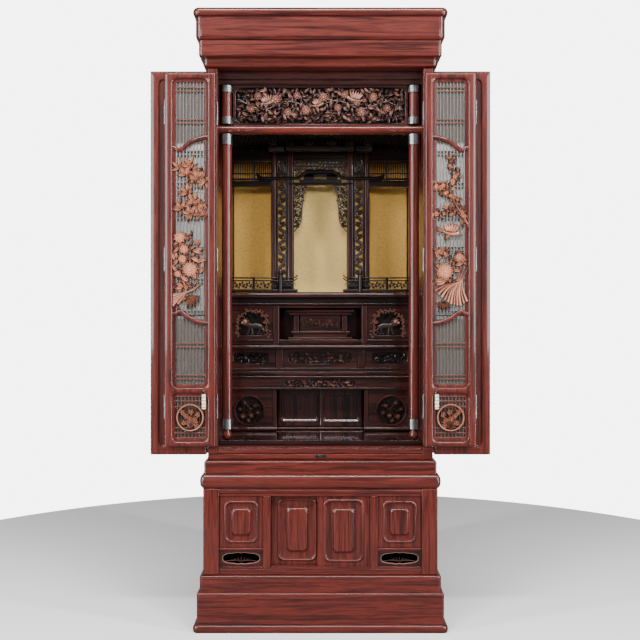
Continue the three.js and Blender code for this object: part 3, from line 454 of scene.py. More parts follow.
boards = {
    "base_board": (14, lambda a, b: rolled(a, b, 5)),
    "base_frame": (8, rounded_top),
    "base_step": (8, rounded_top),
    "lower_slab": (12, lambda a, b: rolled(a, b, 8)),
    "plinth": (6, rounded_top),
    "crown_fillet": (12, lambda a, b: [(-8, a), (-3, a + 2), (-0.8, a + 5), (0, a + 8), (0, b)]),
    "crown_step": (10, lambda a, b: [(-5, a), (-1.6, a + 1.6), (0, a + 5), (0, b)]),
    "crown_frieze": (18, lambda a, b: [(-14, a), (-8, a + 1), (-4, a + 3.4), (-1, a + 8), (0, a + 12), (0, b)]),
    "crown_board": (18, lambda a, b: rolled(a, b, 8)),
}
for board_name, (corner_radius, edge_profile) in boards.items():
    _, x1, y0, y1, z0, z1 = span(board_name)
    board = Work()
    loft(board, [board_ring(x1, y0, y1, corner_radius, out, z) for out, z in edge_profile(z0, z1)])
    dressed(board_name, board, [red_rail])

# %% [markdown]
# ## The case
# The walls, backs and floors are plain boards. A real board has its sharp edges eased, and that small
# bevel is what shows up in the light, so each is a block with eased edges fitted to its node.

# %% Blocks with eased edges
def ring(x0, x1, z0, z1, y, radius=0.4, steps=1):
    """A rectangle in X and Z with rounded corners, at depth y."""
    radius = max(min(radius, (x1 - x0) / 2.05, (z1 - z0) / 2.05), 0.02)
    corners = ((x1 - radius, z0 + radius, -90), (x1 - radius, z1 - radius, 0),
               (x0 + radius, z1 - radius, 90), (x0 + radius, z0 + radius, 180))
    points = []
    for cx, cz, start in corners:
        for i in range(steps + 1):
            angle = math.radians(start + 90 * i / steps)
            points.append((cx + radius * math.cos(angle), y, cz + radius * math.sin(angle)))
    return points


def block(work, x0, x1, y0, y1, z0, z1, edge=1.2, finish=0):
    e = min(edge, (x1 - x0) / 3, (y1 - y0) / 3, (z1 - z0) / 3)
    loft(work, [ring(x0 + e, x1 - e, z0 + e, z1 - e, y0, e * 0.3), ring(x0, x1, z0, z1, y0 + e, e),
                ring(x0, x1, z0, z1, y1 - e, e), ring(x0 + e, x1 - e, z0 + e, z1 - e, y1, e * 0.3)], finish)


joinery = {
    "side_wall_right": (red_stile, 2.0), "side_wall_left": (red_stile, 2.0), "back_wall": (brown_stile, 0.5),
    "lower_side_right": (red_stile, 1.5), "lower_side_left": (red_stile, 1.5), "lower_back": (brown_stile, 0.5),
    "lower_floor": (brown_rail, 0.5), "altar_floor": (polished_floor, 1.0),
}
for board_name, (finish, eased) in joinery.items():
    plain = Work()
    block(plain, *span(board_name), edge=eased)
    dressed(board_name, plain, [finish])

# %% Sill and pull-out board
x0, x1, y0, y1, z0, z1 = span("sill")
bx0, bx1, by0, by1, bz0, bz1 = span("pull_out_board")
sill = Work()
block(sill, x0, x1, y0, y1, z0, bz0 - 0.6, 1.4)
block(sill, x0, bx0 - 0.8, y0, y1, bz0 - 0.5, z1, 1.0)
block(sill, bx1 + 0.8, x1, y0, y1, bz0 - 0.5, z1, 1.0)
block(sill, bx0 - 0.7, bx1 + 0.7, by1 + 5, y1, bz0 - 0.5, z1, 0.5)
block(sill, bx0 - 0.7, bx1 + 0.7, y0, y0 + 33, bz1 + 0.6, z1, 1.2)
block(sill, -16, 16, y0 - 1.0, y0 + 0.5, z0 + 5, bz0 - 2.5, 0.4, finish=1)
dressed("sill", sill, [red_rail, dark_metal])
pull_board = Work()
block(pull_board, bx0, bx1, by0, by1, bz0, bz1, 2.0)
dressed("pull_out_board", pull_board, [red_rail], "pull_out_board")

# %% [markdown]
# ## The lower front
# Two flat corner posts and a grid of rails frame the panels and the sliding doors. The panels are
# raised: a rounded bead, a sunk band and a field that stands out again. One loft from the back edge to
# the middle of the field makes each of them, with the bead as three close rings.

# %% Turned posts and the frame of the lower front
def turned(work, x, y, profile, sides=28, finish=0):
    """A round post: a list of (radius, height)."""
    rings = []
    for radius, z in profile:
        rings.append([(x + radius * math.cos(2 * math.pi * i / sides),
                       y + radius * math.sin(2 * math.pi * i / sides), z) for i in range(sides)])
    loft(work, rings, finish)


def raised_panel(node, bead, field, body=ROOT):
    """A panel with a bead at one distance from its edge and a raised field from another."""
    ax0, ax1, ay0, back, az0, az1 = span(node)
    y = ay0 + 3
    steps = [(0, back, 0.4), (0, y + 0.6, 0.4), (0.6, y, 0.5), (bead - 4.5, y, 16), (bead - 3.2, y - 2.0, 15.5),
             (bead - 1, y - 3, 15), (bead + 1.6, y - 2.0, 14), (bead + 3.6, y + 3.2, 13), (field - 3, y + 4, 10),
             (field - 0.5, y + 0.5, 9.5), (field + 1.5, y - 1.4, 9), (field + 4, y - 2, 8)]
    work = Work()
    loft(work, [ring(ax0 + m, ax1 - m, az0 + m, az1 - m, depth, radius, 6) for m, depth, radius in steps])
    dressed(node, work, [red_stile], body)


x0, x1, y0, y1, z0, z1 = span("lower_front_frame")
post_x, face = x1 - 18, y0 + 6
px0, px1, _, _, pz0, pz1 = span("lower_side_panel_right")
_, _, _, _, oz0, oz1 = span("lower_openwork_right")
FREE, LAP = 0.3, 7
rail_top = oz0 - FREE
lower_frame = Work()
block(lower_frame, x0, x1, face, y1, pz1 + FREE, z1, 1.5)
block(lower_frame, x0 + 6, x1 - 6, face - 3, face + 2, pz1 + 9, z1 - 4, 1.4)
block(lower_frame, x0, x1, face, y1, z0, rail_top - 6, 1.5)
for side in (-1, 1):
    block(lower_frame, *on_side(side, px0 - FREE - 20, px0 - FREE), face, y1, rail_top - LAP, pz1 + 1, 1.5, finish=1)
    block(lower_frame, *on_side(side, px1 + FREE, post_x), face, y1, rail_top - LAP, pz1 + 1, 1.5, finish=1)
    block(lower_frame, *on_side(side, px0 - 1, px1 + 1), face, y1, oz1 + FREE, pz0 - FREE, 1.5)
    block(lower_frame, *on_side(side, px0 - 1, px1 + 1), face + 0.4, y1, rail_top - LAP, rail_top, 1.2)
    block(lower_frame, *on_side(side, px1 + FREE, x1 - 1), face - 5, y1, z0, z1, 3.0, finish=1)
for lip_front, lip_back, eased in ((face, face + 2.2, 0.8), (face + 12.5, face + 14.1, 0.5), (face + 24.2, y1, 0.5)):
    block(lower_frame, -px0 + 21, px0 - 21, lip_front, lip_back, rail_top - LAP, rail_top, eased)
dressed("lower_front_frame", lower_frame, [red_rail, red_stile])

# %% Side panels and sliding doors
for side in ("right", "left"):
    raised_panel(f"lower_side_panel_{side}", 16, 33)
    raised_panel(f"sliding_door_{side}", 20, 42, f"{side}_sliding_door")

# %% [markdown]
# ## Pierced panels
# Round windows, arches, oblong openings and the scalloped low openings are all cut in flat boards. A loft
# from the board's rectangle to the opening's outline, ray by ray from the middle, gives the hole and its
# eased lip without cutting anything.

# %% Boards with one opening
def pierced(work, x0, x1, z0, z1, y0, y1, cx, cz, opening, lip=2.0, rays=64):
    """A board with an opening. opening(angle) is the opening's radius round (cx, cz)."""
    corners = [math.atan2(z - cz, x - cx) % math.tau for x in (x0, x1) for z in (z0, z1)]
    angles = sorted(set([math.tau * i / rays for i in range(rays)] + corners))

    def edge(angle, y):
        c, s = math.cos(angle), math.sin(angle)
        reach = min(((x1 if c > 0 else x0) - cx) / c if abs(c) > 1e-9 else 1e9,
                    ((z1 if s > 0 else z0) - cz) / s if abs(s) > 1e-9 else 1e9)
        return (cx + c * reach, y, cz + s * reach)

    def hole(angle, y, grown):
        reach = opening(angle) + grown
        return (cx + math.cos(angle) * reach, y, cz + math.sin(angle) * reach)

    rings = [[edge(a, y1) for a in angles], [edge(a, y0) for a in angles],
             [hole(a, y0, lip) for a in angles], [hole(a, y0 + lip * 0.35, lip * 0.35) for a in angles],
             [hole(a, y0 + lip, 0) for a in angles], [hole(a, y1, 0) for a in angles]]
    loft(work, rings, closed=True)


def oblong(a, b, above=5.0, below=5.0):
    """The radius of a rounded oblong of half sizes a and b. Higher powers are squarer."""
    def radius(angle):
        c, s = abs(math.cos(angle)), abs(math.sin(angle))
        power = above if math.sin(angle) > 0 else below
        return ((c / a) ** power + (s / b) ** power) ** (-1 / power)
    return radius


def scalloped(a, b, lobes, depth):
    plain = oblong(a, b, 3.2, 3.2)
    return lambda angle: plain(angle) * (1 + depth * math.cos(lobes * angle))


# %% [markdown]
# ## The carver's tools
# Leaves, petals, twigs, birds and curls are the carver's vocabulary, and every carved panel is made of
# them. Each is a small loft with a rounded back and a cut vein, light enough to be repeated by the
# hundred. They lie in the plane of the panel and stand out towards the viewer.

# %% Leaves, flowers and twigs
def leaf(work, x, y, z, length, width, angle, rise=3.0, curl=0.0, lift=0.0, blunt=1.0, finish=0, stations=5):
    """A carved leaf that starts at x, z and points along angle; curl bends it and lift raises its tip."""
    rings = []
    heading = angle
    for i in range(stations + 1):
        t = i / stations
        half = width / 2 * max(math.sin(math.pi * min(t, 0.999) ** 0.8), 0.03) ** blunt
        c, s = math.cos(heading), math.sin(heading)
        out = y - lift * t
        swell = 0.35 + 0.65 * math.sin(math.pi * (0.1 + 0.8 * t))
        row = [(x - s * half * v, out - rise * h * swell, z + c * half * v)
               for v, h in ((-1, 0.1), (-0.55, 1.0), (0, 0.5), (0.55, 1.0), (1, 0.1))]
        # The flared rim runs back into the depth, where the carved finish paints it as shade: a painted dark outline
        # round each leaf.
        flare = half + 0.9
        row += [(x - s * flare, out + 3.2, z + c * flare), (x + s * flare, out + 3.2, z - c * flare)]
        rings.append(row)
        x += c * length / stations
        z += s * length / stations
        heading += curl / stations
    loft(work, rings, finish)


def dome(work, x, y, z, radius, rise, finish=0, sides=10):
    rings = []
    for share, out in ((1.0, 0.0), (0.9, 0.45), (0.6, 0.85), (0.15, 1.0)):
        rings.append([(x + radius * share * math.cos(math.tau * i / sides), y - rise * out,
                       z + radius * share * math.sin(math.tau * i / sides)) for i in range(sides)])
    loft(work, rings, finish)


def blossom(work, x, y, z, radius, petals, rise=4.0, layers=1, turn=0.0, blunt=0.5):
    """An open flower: layers of petals round a button."""
    for layer in range(layers):
        reach = radius * (1 - 0.27 * layer)
        for i in range(petals):
            angle = turn + layer * math.pi / petals + math.tau * i / petals
            leaf(work, x + math.cos(angle) * radius * 0.12, y - layer * rise * 0.45,
                 z + math.sin(angle) * radius * 0.12, reach * 0.88, math.tau * reach * 0.62 / petals,
                 angle, rise * 0.8, lift=rise * 0.35, blunt=blunt, stations=4)
    dome(work, x, y - rise * (0.3 + 0.35 * layers), z, radius * 0.2, rise * 0.8, sides=8)


def twig(work, path, radii, y, rise=1.0, finish=0, sides=7):
    """A branch through points in X and Z; rise flattens or deepens it."""
    rings = []
    for i, (x, z) in enumerate(path):
        ax, az = path[max(i - 1, 0)]
        bx, bz = path[min(i + 1, len(path) - 1)]
        length = math.hypot(bx - ax, bz - az)
        nx, nz = -(bz - az) / length, (bx - ax) / length
        radius = radii[0] + (radii[1] - radii[0]) * i / (len(path) - 1)
        rings.append([(x + nx * radius * math.cos(a), y - rise * radius * math.sin(a),
                       z + nz * radius * math.cos(a)) for a in (math.tau * k / sides for k in range(sides))])
    loft(work, rings, finish)


def bend(points, steps=4):
    """A smooth path through points in X and Z."""
    path = []
    ends = [points[0], *points, points[-1]]
    for (ax, az), (bx, bz), (cx, cz), (dx, dz) in zip(ends, ends[1:], ends[2:], ends[3:]):
        for i in range(steps):
            t = i / steps
            w = (-0.5 * t + t * t - 0.5 * t ** 3, 1 - 2.5 * t * t + 1.5 * t ** 3,
                 0.5 * t + 2 * t * t - 1.5 * t ** 3, -0.5 * t * t + 0.5 * t ** 3)
            path.append((ax * w[0] + bx * w[1] + cx * w[2] + dx * w[3],
                         az * w[0] + bz * w[1] + cz * w[2] + dz * w[3]))
    return [*path, points[-1]]


def band(work, path, width, y0, y1, edge=1.0):
    """A strip of board that follows a path in X and Z, with eased edges."""
    rings = []
    half = width / 2
    section = [(-half + edge, y0), (half - edge, y0), (half, y0 + edge), (half, y1 - edge),
               (half - edge, y1), (-half + edge, y1), (-half, y1 - edge), (-half, y0 + edge)]
    for i, (x, z) in enumerate(path):
        ax, az = path[max(i - 1, 0)]
        bx, bz = path[min(i + 1, len(path) - 1)]
        length = math.hypot(bx - ax, bz - az)
        nx, nz = -(bz - az) / length, (bx - ax) / length
        rings.append([(x + nx * off, y, z + nz * off) for off, y in section])
    loft(work, rings)


def curl(work, x, y, z, radius, thick, start=0.0, turns=1.1, hand=1):
    """A small scroll that winds inwards."""
    steps = 9
    path = []
    for i in range(steps + 1):
        t = i / steps
        angle = start + hand * math.tau * turns * t
        reach = radius * (1 - 0.62 * t)
        path.append((x + reach * math.cos(angle), z + reach * math.sin(angle)))
    twig(work, path, (thick, thick * 0.8), y, sides=5)


# %% Birds and lions
def bird(work, x, y, z, size, facing, rise=5.0, tilt=0.0):
    """A small flying bird: body, head, beak, fanned tail and two spread wings, tilted in degrees."""
    lean = math.radians(tilt)

    def at(u, v):
        return (x + facing * size * (u * math.cos(lean) - v * math.sin(lean)),
                z + size * (u * math.sin(lean) + v * math.cos(lean)))

    def way(degrees):
        angle = math.radians(degrees) + lean
        return angle if facing > 0 else math.pi - angle

    twig(work, bend([at(-0.38, -0.02), at(-0.1, -0.04), at(0.18, 0.02), at(0.36, 0.12)]),
         (size * 0.06, size * 0.10), y - 1, rise / (size * 0.12))
    dome(work, at(0.4, 0.15)[0], y - 2, at(0.4, 0.15)[1], size * 0.10, rise * 0.9)
    leaf(work, at(0.46, 0.15)[0], y - 2, at(0.46, 0.15)[1], size * 0.2, size * 0.08, way(8), 2)
    for k in range(6):
        wx, wz = at(0.14 - 0.06 * k, 0.04)
        leaf(work, wx, y - 2 - 0.3 * k, wz, size * (0.60 - 0.05 * k), size * 0.12, way(66 + 12 * k), rise * 0.6,
             curl=0.4 * facing, lift=2)
        leaf(work, wx, y - 1, at(0, -0.04)[1], size * (0.44 - 0.03 * k), size * 0.11, way(232 + 13 * k), rise * 0.5,
             curl=-0.3 * facing, lift=1)
    for k in range(3):
        tx, tz = at(-0.3, -0.02)
        leaf(work, tx, y - 1, tz, size * 0.42, size * 0.11, way(165 + 14 * k), rise * 0.5, lift=1)


def lion(work, x, y, z, size, facing):
    """A crouching lion in low relief: curled mane, arched back and flaming tail."""
    def at(u, v):
        return (x + facing * size * u, z + size * v)

    twig(work, bend([at(-0.42, 0.34), at(-0.1, 0.44), at(0.2, 0.42), at(0.42, 0.56)]),
         (size * 0.13, size * 0.15), y, 0.45)
    for foot, knee, hip in (((0.34, 0.03), (0.30, 0.18), (0.26, 0.38)),
                            ((0.1, 0.03), (0.14, 0.2), (0.16, 0.36)),
                            ((-0.34, 0.03), (-0.46, 0.17), (-0.34, 0.34)),
                            ((-0.18, 0.03), (-0.24, 0.2), (-0.26, 0.34))):
        twig(work, bend([at(*hip), at(*knee), at(*foot)]), (size * 0.09, size * 0.055), y, 0.6)
        dome(work, at(foot[0] + 0.03, foot[1])[0], y, at(*foot)[1], size * 0.06, 3)
    hx, hz = at(0.46, 0.64)
    dome(work, hx, y - 3, hz, size * 0.15, 6)
    dome(work, at(0.60, 0.58)[0], y - 4, at(0.60, 0.58)[1], size * 0.085, 5)
    for k in range(9):
        angle = math.tau * k / 9
        dome(work, hx + size * 0.17 * math.cos(angle), y - 2, hz + size * 0.17 * math.sin(angle), size * 0.06, 4,
             sides=7)
    for k in range(4):
        tx, tz = at(-0.42, 0.42)
        angle = math.radians(70 + 24 * k)
        leaf(work, tx, y, tz, size * 0.46, size * 0.13, angle if facing > 0 else math.pi - angle, 3.5,
             curl=0.7 * facing, lift=2)


print("the carver's tools are laid out")

# %% [markdown]
# ## Geometry Nodes for what repeats
# Bars, hinges, sprigs and background foliage repeat by rule, so three small node trees make them: a row of
# copies, copies along a path with every other one turned over, and foliage strewn over a field with a
# fixed seed. Each ends in Realize Instances and Set Material, and its result is kept as a plain mesh.

# %% Build and run a node tree
def new_tree(title, inputs):
    tree = bpy.data.node_groups.new(title, "GeometryNodeTree")
    tree.interface.new_socket("Geometry", in_out="INPUT", socket_type="NodeSocketGeometry")
    for label, kind in inputs:
        tree.interface.new_socket(label, in_out="INPUT", socket_type="NodeSocket" + kind)
    tree.interface.new_socket("Geometry", in_out="OUTPUT", socket_type="NodeSocketGeometry")
    return tree, tree.nodes.new("NodeGroupInput"), tree.nodes.new("NodeGroupOutput")


def close_tree(tree, source, output, copies):
    realize = tree.nodes.new("GeometryNodeRealizeInstances")
    painted = tree.nodes.new("GeometryNodeSetMaterial")
    wire(tree, (copies, "Instances", realize, "Geometry"), (realize, "Geometry", painted, "Geometry"),
         (source, "Finish", painted, "Material"), (painted, "Geometry", output, "Geometry"))


def run_tree(name, tree, values, body, stands_for=(), place=None, carved=False):
    """Runs a tree with its named inputs and dresses the plain mesh that it gives."""
    carrier = bpy.data.objects.new(name + " carrier", bpy.data.meshes.new(name + " carrier"))
    bpy.context.scene.collection.objects.link(carrier)
    modifier = carrier.modifiers.new("Rule", "NODES")
    modifier.node_group = tree
    sockets = {s.name: s.identifier for s in tree.interface.items_tree
               if s.item_type == "SOCKET" and s.in_out == "INPUT"}
    for label, value in values.items():
        modifier[sockets[label]] = value
    bpy.context.view_layer.update()
    evaluated = carrier.evaluated_get(bpy.context.evaluated_depsgraph_get())
    mesh = bpy.data.meshes.new_from_object(evaluated)
    mesh.name = name
    mesh.materials.clear()
    mesh.polygons.foreach_set("material_index", [0] * len(mesh.polygons))
    bpy.data.objects.remove(carrier)
    if place:
        for vertex in mesh.vertices:
            x, y, z = vertex.co
            vertex.co = metres(*place((x / MM, y / MM - CASE_FRONT, z / MM)))
    return dress(name, mesh, [values["Finish"]], body, stands_for, carved)


patterns = []


def pattern(name, work):
    """A small shape in millimetres round its own origin, to be copied by a tree."""
    mesh = bpy.data.meshes.new(name)
    mesh.from_pydata([(x * MM, y * MM, z * MM) for x, y, z in work.points], [], work.faces)
    made = bpy.data.objects.new(name, mesh)
    bpy.context.scene.collection.objects.link(made)
    made.hide_render = True
    patterns.append(made)
    return made


# %% A row of copies
row_tree, row_in, row_out = new_tree("row of copies", [
    ("Copy", "Object"), ("Start", "Vector"), ("Step", "Vector"), ("Count", "Int"), ("Finish", "Material")])
line = add_node(row_tree, "GeometryNodeMeshLine", mode="OFFSET")
copy_info = add_node(row_tree, "GeometryNodeObjectInfo")
copies = add_node(row_tree, "GeometryNodeInstanceOnPoints")
wire(row_tree, (row_in, "Count", line, "Count"), (row_in, "Start", line, "Start Location"),
     (row_in, "Step", line, "Offset"), (row_in, "Copy", copy_info, "Object"),
     (line, "Mesh", copies, "Points"), (copy_info, "Geometry", copies, "Instance"))
close_tree(row_tree, row_in, row_out, copies)


def row_of(name, copy, start, step, count, finish, body, **options):
    values = {"Copy": copy, "Start": metres(*start), "Step": tuple(v * MM for v in step), "Count": count,
              "Finish": finish}
    return run_tree(name, row_tree, values, body, **options)


# %% Copies along a path, every other one turned over
path_tree, path_in, path_out = new_tree("copies along a path", [
    ("Path", "Object"), ("Copy", "Object"), ("Count", "Int"), ("Finish", "Material")])
path_info = add_node(path_tree, "GeometryNodeObjectInfo")
sprig_info = add_node(path_tree, "GeometryNodeObjectInfo")
even_points = add_node(path_tree, "GeometryNodeResampleCurve")
tangent = add_node(path_tree, "GeometryNodeInputTangent")
turned_to = add_node(path_tree, "FunctionNodeAlignRotationToVector", axis="X", pivot_axis="Y")
number = add_node(path_tree, "GeometryNodeInputIndex")
parity = add_node(path_tree, "ShaderNodeMath", operation="MODULO")
parity.inputs[1].default_value = 2.0
flip = add_node(path_tree, "ShaderNodeMath", operation="MULTIPLY_ADD")
flip.inputs[1].default_value = -2.0
flip.inputs[2].default_value = 1.0
flip_scale = add_node(path_tree, "ShaderNodeCombineXYZ")
fill(flip_scale, X=1.0, Y=1.0)
sprigs = add_node(path_tree, "GeometryNodeInstanceOnPoints")
wire(path_tree, (path_in, "Path", path_info, "Object"), (path_in, "Copy", sprig_info, "Object"),
     (path_info, "Geometry", even_points, "Curve"), (path_in, "Count", even_points, "Count"),
     (tangent, "Tangent", turned_to, "Vector"), (number, "Index", parity, 0), (parity, 0, flip, 0),
     (flip, 0, flip_scale, "Z"), (even_points, "Curve", sprigs, "Points"),
     (sprig_info, "Geometry", sprigs, "Instance"), (turned_to, "Rotation", sprigs, "Rotation"),
     (flip_scale, "Vector", sprigs, "Scale"))
close_tree(path_tree, path_in, path_out, sprigs)


def along_path(name, points, copy, count, finish, **options):
    """Copies a pattern along a path of (x, y, z) in millimetres."""
    curve = bpy.data.curves.new(name + " path", "CURVE")
    curve.dimensions = "3D"
    spline = curve.splines.new("POLY")
    spline.points.add(len(points) - 1)
    for point, place in zip(spline.points, points):
        point.co = (*metres(*place), 1.0)
    guide = bpy.data.objects.new(name + " path", curve)
    bpy.context.scene.collection.objects.link(guide)
    run_tree(name, path_tree, {"Path": guide, "Copy": copy, "Count": count, "Finish": finish}, ROOT, **options)
    bpy.data.objects.remove(guide)


# %% Foliage strewn over a field
field_tree, field_in, field_out = new_tree("strewn foliage", [
    ("Copy", "Object"), ("Middle", "Vector"), ("Width", "Float"), ("Height", "Float"), ("Columns", "Int"),
    ("Rows", "Int"), ("Scatter", "Vector"), ("Smallest", "Float"), ("Largest", "Float"), ("Seed", "Int"),
    ("Finish", "Material")])
grid = add_node(field_tree, "GeometryNodeMeshGrid")
upright = add_node(field_tree, "GeometryNodeTransform")
fill(upright, Rotation=(math.pi / 2, 0, 0))
jitter = add_node(field_tree, "FunctionNodeRandomValue", data_type="FLOAT_VECTOR")
jitter.inputs[0].default_value = (-1, -1, -1)
jitter.inputs[1].default_value = (1, 1, 1)
scaled = add_node(field_tree, "ShaderNodeVectorMath", operation="MULTIPLY")
moved = add_node(field_tree, "GeometryNodeSetPosition")
spin = add_node(field_tree, "FunctionNodeRandomValue", data_type="FLOAT_VECTOR")
spin.inputs[0].default_value = (-0.3, 0.0, -0.3)
spin.inputs[1].default_value = (0.3, math.tau, 0.3)
size = add_node(field_tree, "FunctionNodeRandomValue", data_type="FLOAT")
foliage_info = add_node(field_tree, "GeometryNodeObjectInfo")
strewn = add_node(field_tree, "GeometryNodeInstanceOnPoints")
wire(field_tree, (field_in, "Width", grid, "Size X"), (field_in, "Height", grid, "Size Y"),
     (field_in, "Columns", grid, "Vertices X"), (field_in, "Rows", grid, "Vertices Y"),
     (grid, "Mesh", upright, "Geometry"), (field_in, "Middle", upright, "Translation"),
     (upright, "Geometry", moved, "Geometry"), (jitter, 0, scaled, 0), (field_in, "Scatter", scaled, 1),
     (scaled, "Vector", moved, "Offset"), (field_in, "Seed", jitter, "Seed"), (field_in, "Seed", spin, "Seed"),
     (field_in, "Seed", size, "Seed"), (field_in, "Smallest", size, 2), (field_in, "Largest", size, 3),
     (field_in, "Copy", foliage_info, "Object"), (moved, "Geometry", strewn, "Points"),
     (foliage_info, "Geometry", strewn, "Instance"), (spin, 0, strewn, "Rotation"), (size, 1, strewn, "Scale"))
close_tree(field_tree, field_in, field_out, strewn)

leaf_work = Work()
leaf(leaf_work, -9, 0, 0, 18, 7.5, 0.0, 2.6, curl=0.5, lift=1.5)
leaf_pattern = pattern("single leaf", leaf_work)


def foliage(name, x0, x1, z0, z1, y, spacing, finish, seed, smallest=0.6, largest=1.1, depth=2.0):
    """Strews leaves over a field, about one for each spacing, leaving room for their tips at the edges."""
    width, height = x1 - x0, z1 - z0
    values = {
        "Copy": leaf_pattern, "Middle": metres((x0 + x1) / 2, y, (z0 + z1) / 2), "Width": width * MM,
        "Height": height * MM, "Columns": max(2, round(width / spacing) + 1),
        "Rows": max(2, round(height / spacing) + 1),
        "Scatter": (spacing * 0.35 * MM, depth * MM, spacing * 0.35 * MM), "Smallest": smallest,
        "Largest": largest, "Seed": seed, "Finish": finish,
    }
    run_tree(name, field_tree, values, ROOT, carved=True)


# %% [markdown]
# ## Low openwork panels
# Under each side panel is a thin board with a scalloped opening, and a small plant stands in it.

# %% Scalloped openings
for side in ("right", "left"):
    node = f"lower_openwork_{side}"
    ax0, ax1, ay0, ay1, az0, az1 = span(node)
    cx, cz = (ax0 + ax1) / 2, (az0 + az1) / 2
    board = Work()
    pierced(board, ax0, ax1, az0, az1, ay0, ay1, cx, cz, scalloped(45, 13.5, 6, 0.05), 1.6)
    dressed(node, board, [brown_rail])
    plant = Work()
    ground = bend([(cx - 44, cz - 9), (cx - 20, cz - 6), (cx, cz - 8), (cx + 20, cz - 6), (cx + 44, cz - 9)])
    twig(plant, ground, (1.3, 1.3), ay0 + 4)
    for i in range(-3, 4):
        leaf(plant, cx + i * 6, ay0 + 4, cz - 8, 12 - abs(i), 3.6, math.pi / 2 - i * 0.3, 1.8, curl=-0.3 * i)
    rim = scalloped(46, 14.5, 6, 0.05)
    turns = [math.tau * i / 72 for i in range(73)]
    twig(plant, [(cx + rim(a) * math.cos(a), cz + rim(a) * math.sin(a)) for a in turns], (1.0, 1.0), ay0 + 0.9)
    make_piece(f"low_plant_{side}", plant, [brown_carving], carved=True)

# %% [markdown]
# ## Folding outer doors
# Each side has two flush leaves, hinged to each other. A leaf is one board with a long sunk panel on both
# faces; its rounded corners are part of the same loft, from the middle of one face round to the other.

# %% Outer leaves
def outer_leaf(node, body):
    ax0, ax1, ay0, ay1, az0, az1 = span(node)
    door = Work()
    stile, sunk = 21, 5

    def at(margin, y, radius):
        return ring(ax0 + margin, ax1 - margin, az0 + margin, az1 - margin, y, radius, 6)

    loft(door, [at(stile + 4, ay0 + sunk, 11), at(stile + 1.5, ay0 + sunk - 1, 13), at(stile, ay0 + 1.6, 14),
                at(stile - 1.6, ay0, 15.6), at(2.5, ay0, 0.6), at(0, ay0 + 2.5, 1.5), at(0, ay1 - 2.5, 1.5),
                at(2.5, ay1, 0.6), at(stile - 1.6, ay1, 15.6), at(stile, ay1 - 1.6, 14),
                at(stile + 1.5, ay1 - sunk + 1, 13), at(stile + 4, ay1 - sunk, 11)])
    door.finishes[-2:] = [1, 1]
    dressed(node, door, [red_stile, panel_stile], body)


for side in ("right", "left"):
    outer_leaf(f"outer_leaf_inner_{side}", f"{side}_outer_door_inner_leaf")
    outer_leaf(f"outer_leaf_outer_{side}", f"{side}_outer_door_outer_leaf")

# %% [markdown]
# ## Folding lattice doors
# Inside the outer doors hang lattice doors, also in two leaves a side. A leaf has a bevelled frame that
# flashes white along its edges, two rounded openings with a slip frame, ten pairs of thin bars, upright
# bars behind them, and two curved borders. The bars are Geometry Nodes rows, because one leaf has dozens.
# All leaves are drawn once, as the right front one, and turned or mirrored into place.

# %% The frame of a lattice leaf
LX0, LX1, LY0, LY1, LZ0, LZ1 = span("lattice_leaf_outer_right")
LY0 = LY1 - 14.4
CX = (LX0 + LX1) / 2
OPEN_TOP, OPEN_BOTTOM, RAIL_TOP, RAIL_BOTTOM = LZ1 - 16, LZ0 + 14, 627, 612.5
IX0, IX1 = LX0 + 21, LX1 - 21


def lattice_frame():
    frame_work = Work()
    hole = 16
    rail = (RAIL_TOP + RAIL_BOTTOM) / 2

    def at(margin, y, radius=0.5):
        return ring(LX0 + margin, LX1 - margin, LZ0 + margin, LZ1 - margin, y, radius, 4)

    def inner(y, grow=0.0):
        return ring(LX0 + hole - grow, LX1 - hole + grow, LZ0 + 10 - grow, LZ1 - 12 + grow, y, 0.5, 4)

    loft(frame_work, [at(4.2, LY0, 0.4), at(1.4, LY0 + 1.6, 0.8), at(0, LY0 + 4.6, 1.2), at(0, LY1 - 1.2, 1.0),
                      at(1.2, LY1, 0.5), inner(LY1), inner(LY0 + 0.5), inner(LY0, 0.5)], closed=True)
    for z0, z1, h0, h1 in ((rail, LZ1 - 12, RAIL_TOP, OPEN_TOP), (LZ0 + 10, rail, OPEN_BOTTOM, RAIL_BOTTOM)):
        outer = (LX0 + hole, LX1 - hole, z0, z1)
        loft(frame_work, [ring(*outer, LY1 - 0.6, 0.5, 6), ring(*outer, LY0 + 0.3, 0.5, 6),
                          ring(IX0 - 3.6, IX1 + 3.6, h0 - 3.6, h1 + 3.6, LY0 + 0.3, 17.6, 6),
                          ring(IX0 - 1.2, IX1 + 1.2, h0 - 1.2, h1 + 1.2, LY0 + 1.7, 15.2, 6),
                          ring(IX0, IX1, h0, h1, LY0 + 4.2, 14, 6), ring(IX0, IX1, h0, h1, LY0 + 11, 14, 6),
                          ring(IX0 - 3, IX1 + 3, h0 - 3, h1 + 3, LY1 - 0.6, 14, 6)], closed=True)
        slip = 7.5
        loft(frame_work, [ring(IX0 - 1, IX1 + 1, h0 - 1, h1 + 1, LY0 + 10.8, 13, 6),
                          ring(IX0 - 1, IX1 + 1, h0 - 1, h1 + 1, LY0 + 6.5, 13, 6),
                          ring(IX0 + slip - 0.8, IX1 - slip + 0.8, h0 + slip - 0.8, h1 - slip + 0.8, LY0 + 6.5, 7, 6),
                          ring(IX0 + slip, IX1 - slip, h0 + slip, h1 - slip, LY0 + 7.4, 6.4, 6),
                          ring(IX0 + slip, IX1 - slip, h0 + slip, h1 - slip, LY0 + 10.8, 6.4, 6)], closed=True)
    shares = (0.0, 0.22, 0.45, 0.62, 0.75, 0.83, 0.90, 1.0)
    for heights in ((1270, 1267, 1259, 1248, 1238, 1236, 1241, 1243), (791, 794, 802, 811, 820, 822, 817, 815)):
        path = bend([(IX0 - 1 + t * (IX1 - IX0 + 2), z) for t, z in zip(shares, heights)], 3)
        band(frame_work, path, 11, LY0 + 1.6, LY0 + 8.5, 3.0)
    return frame_work


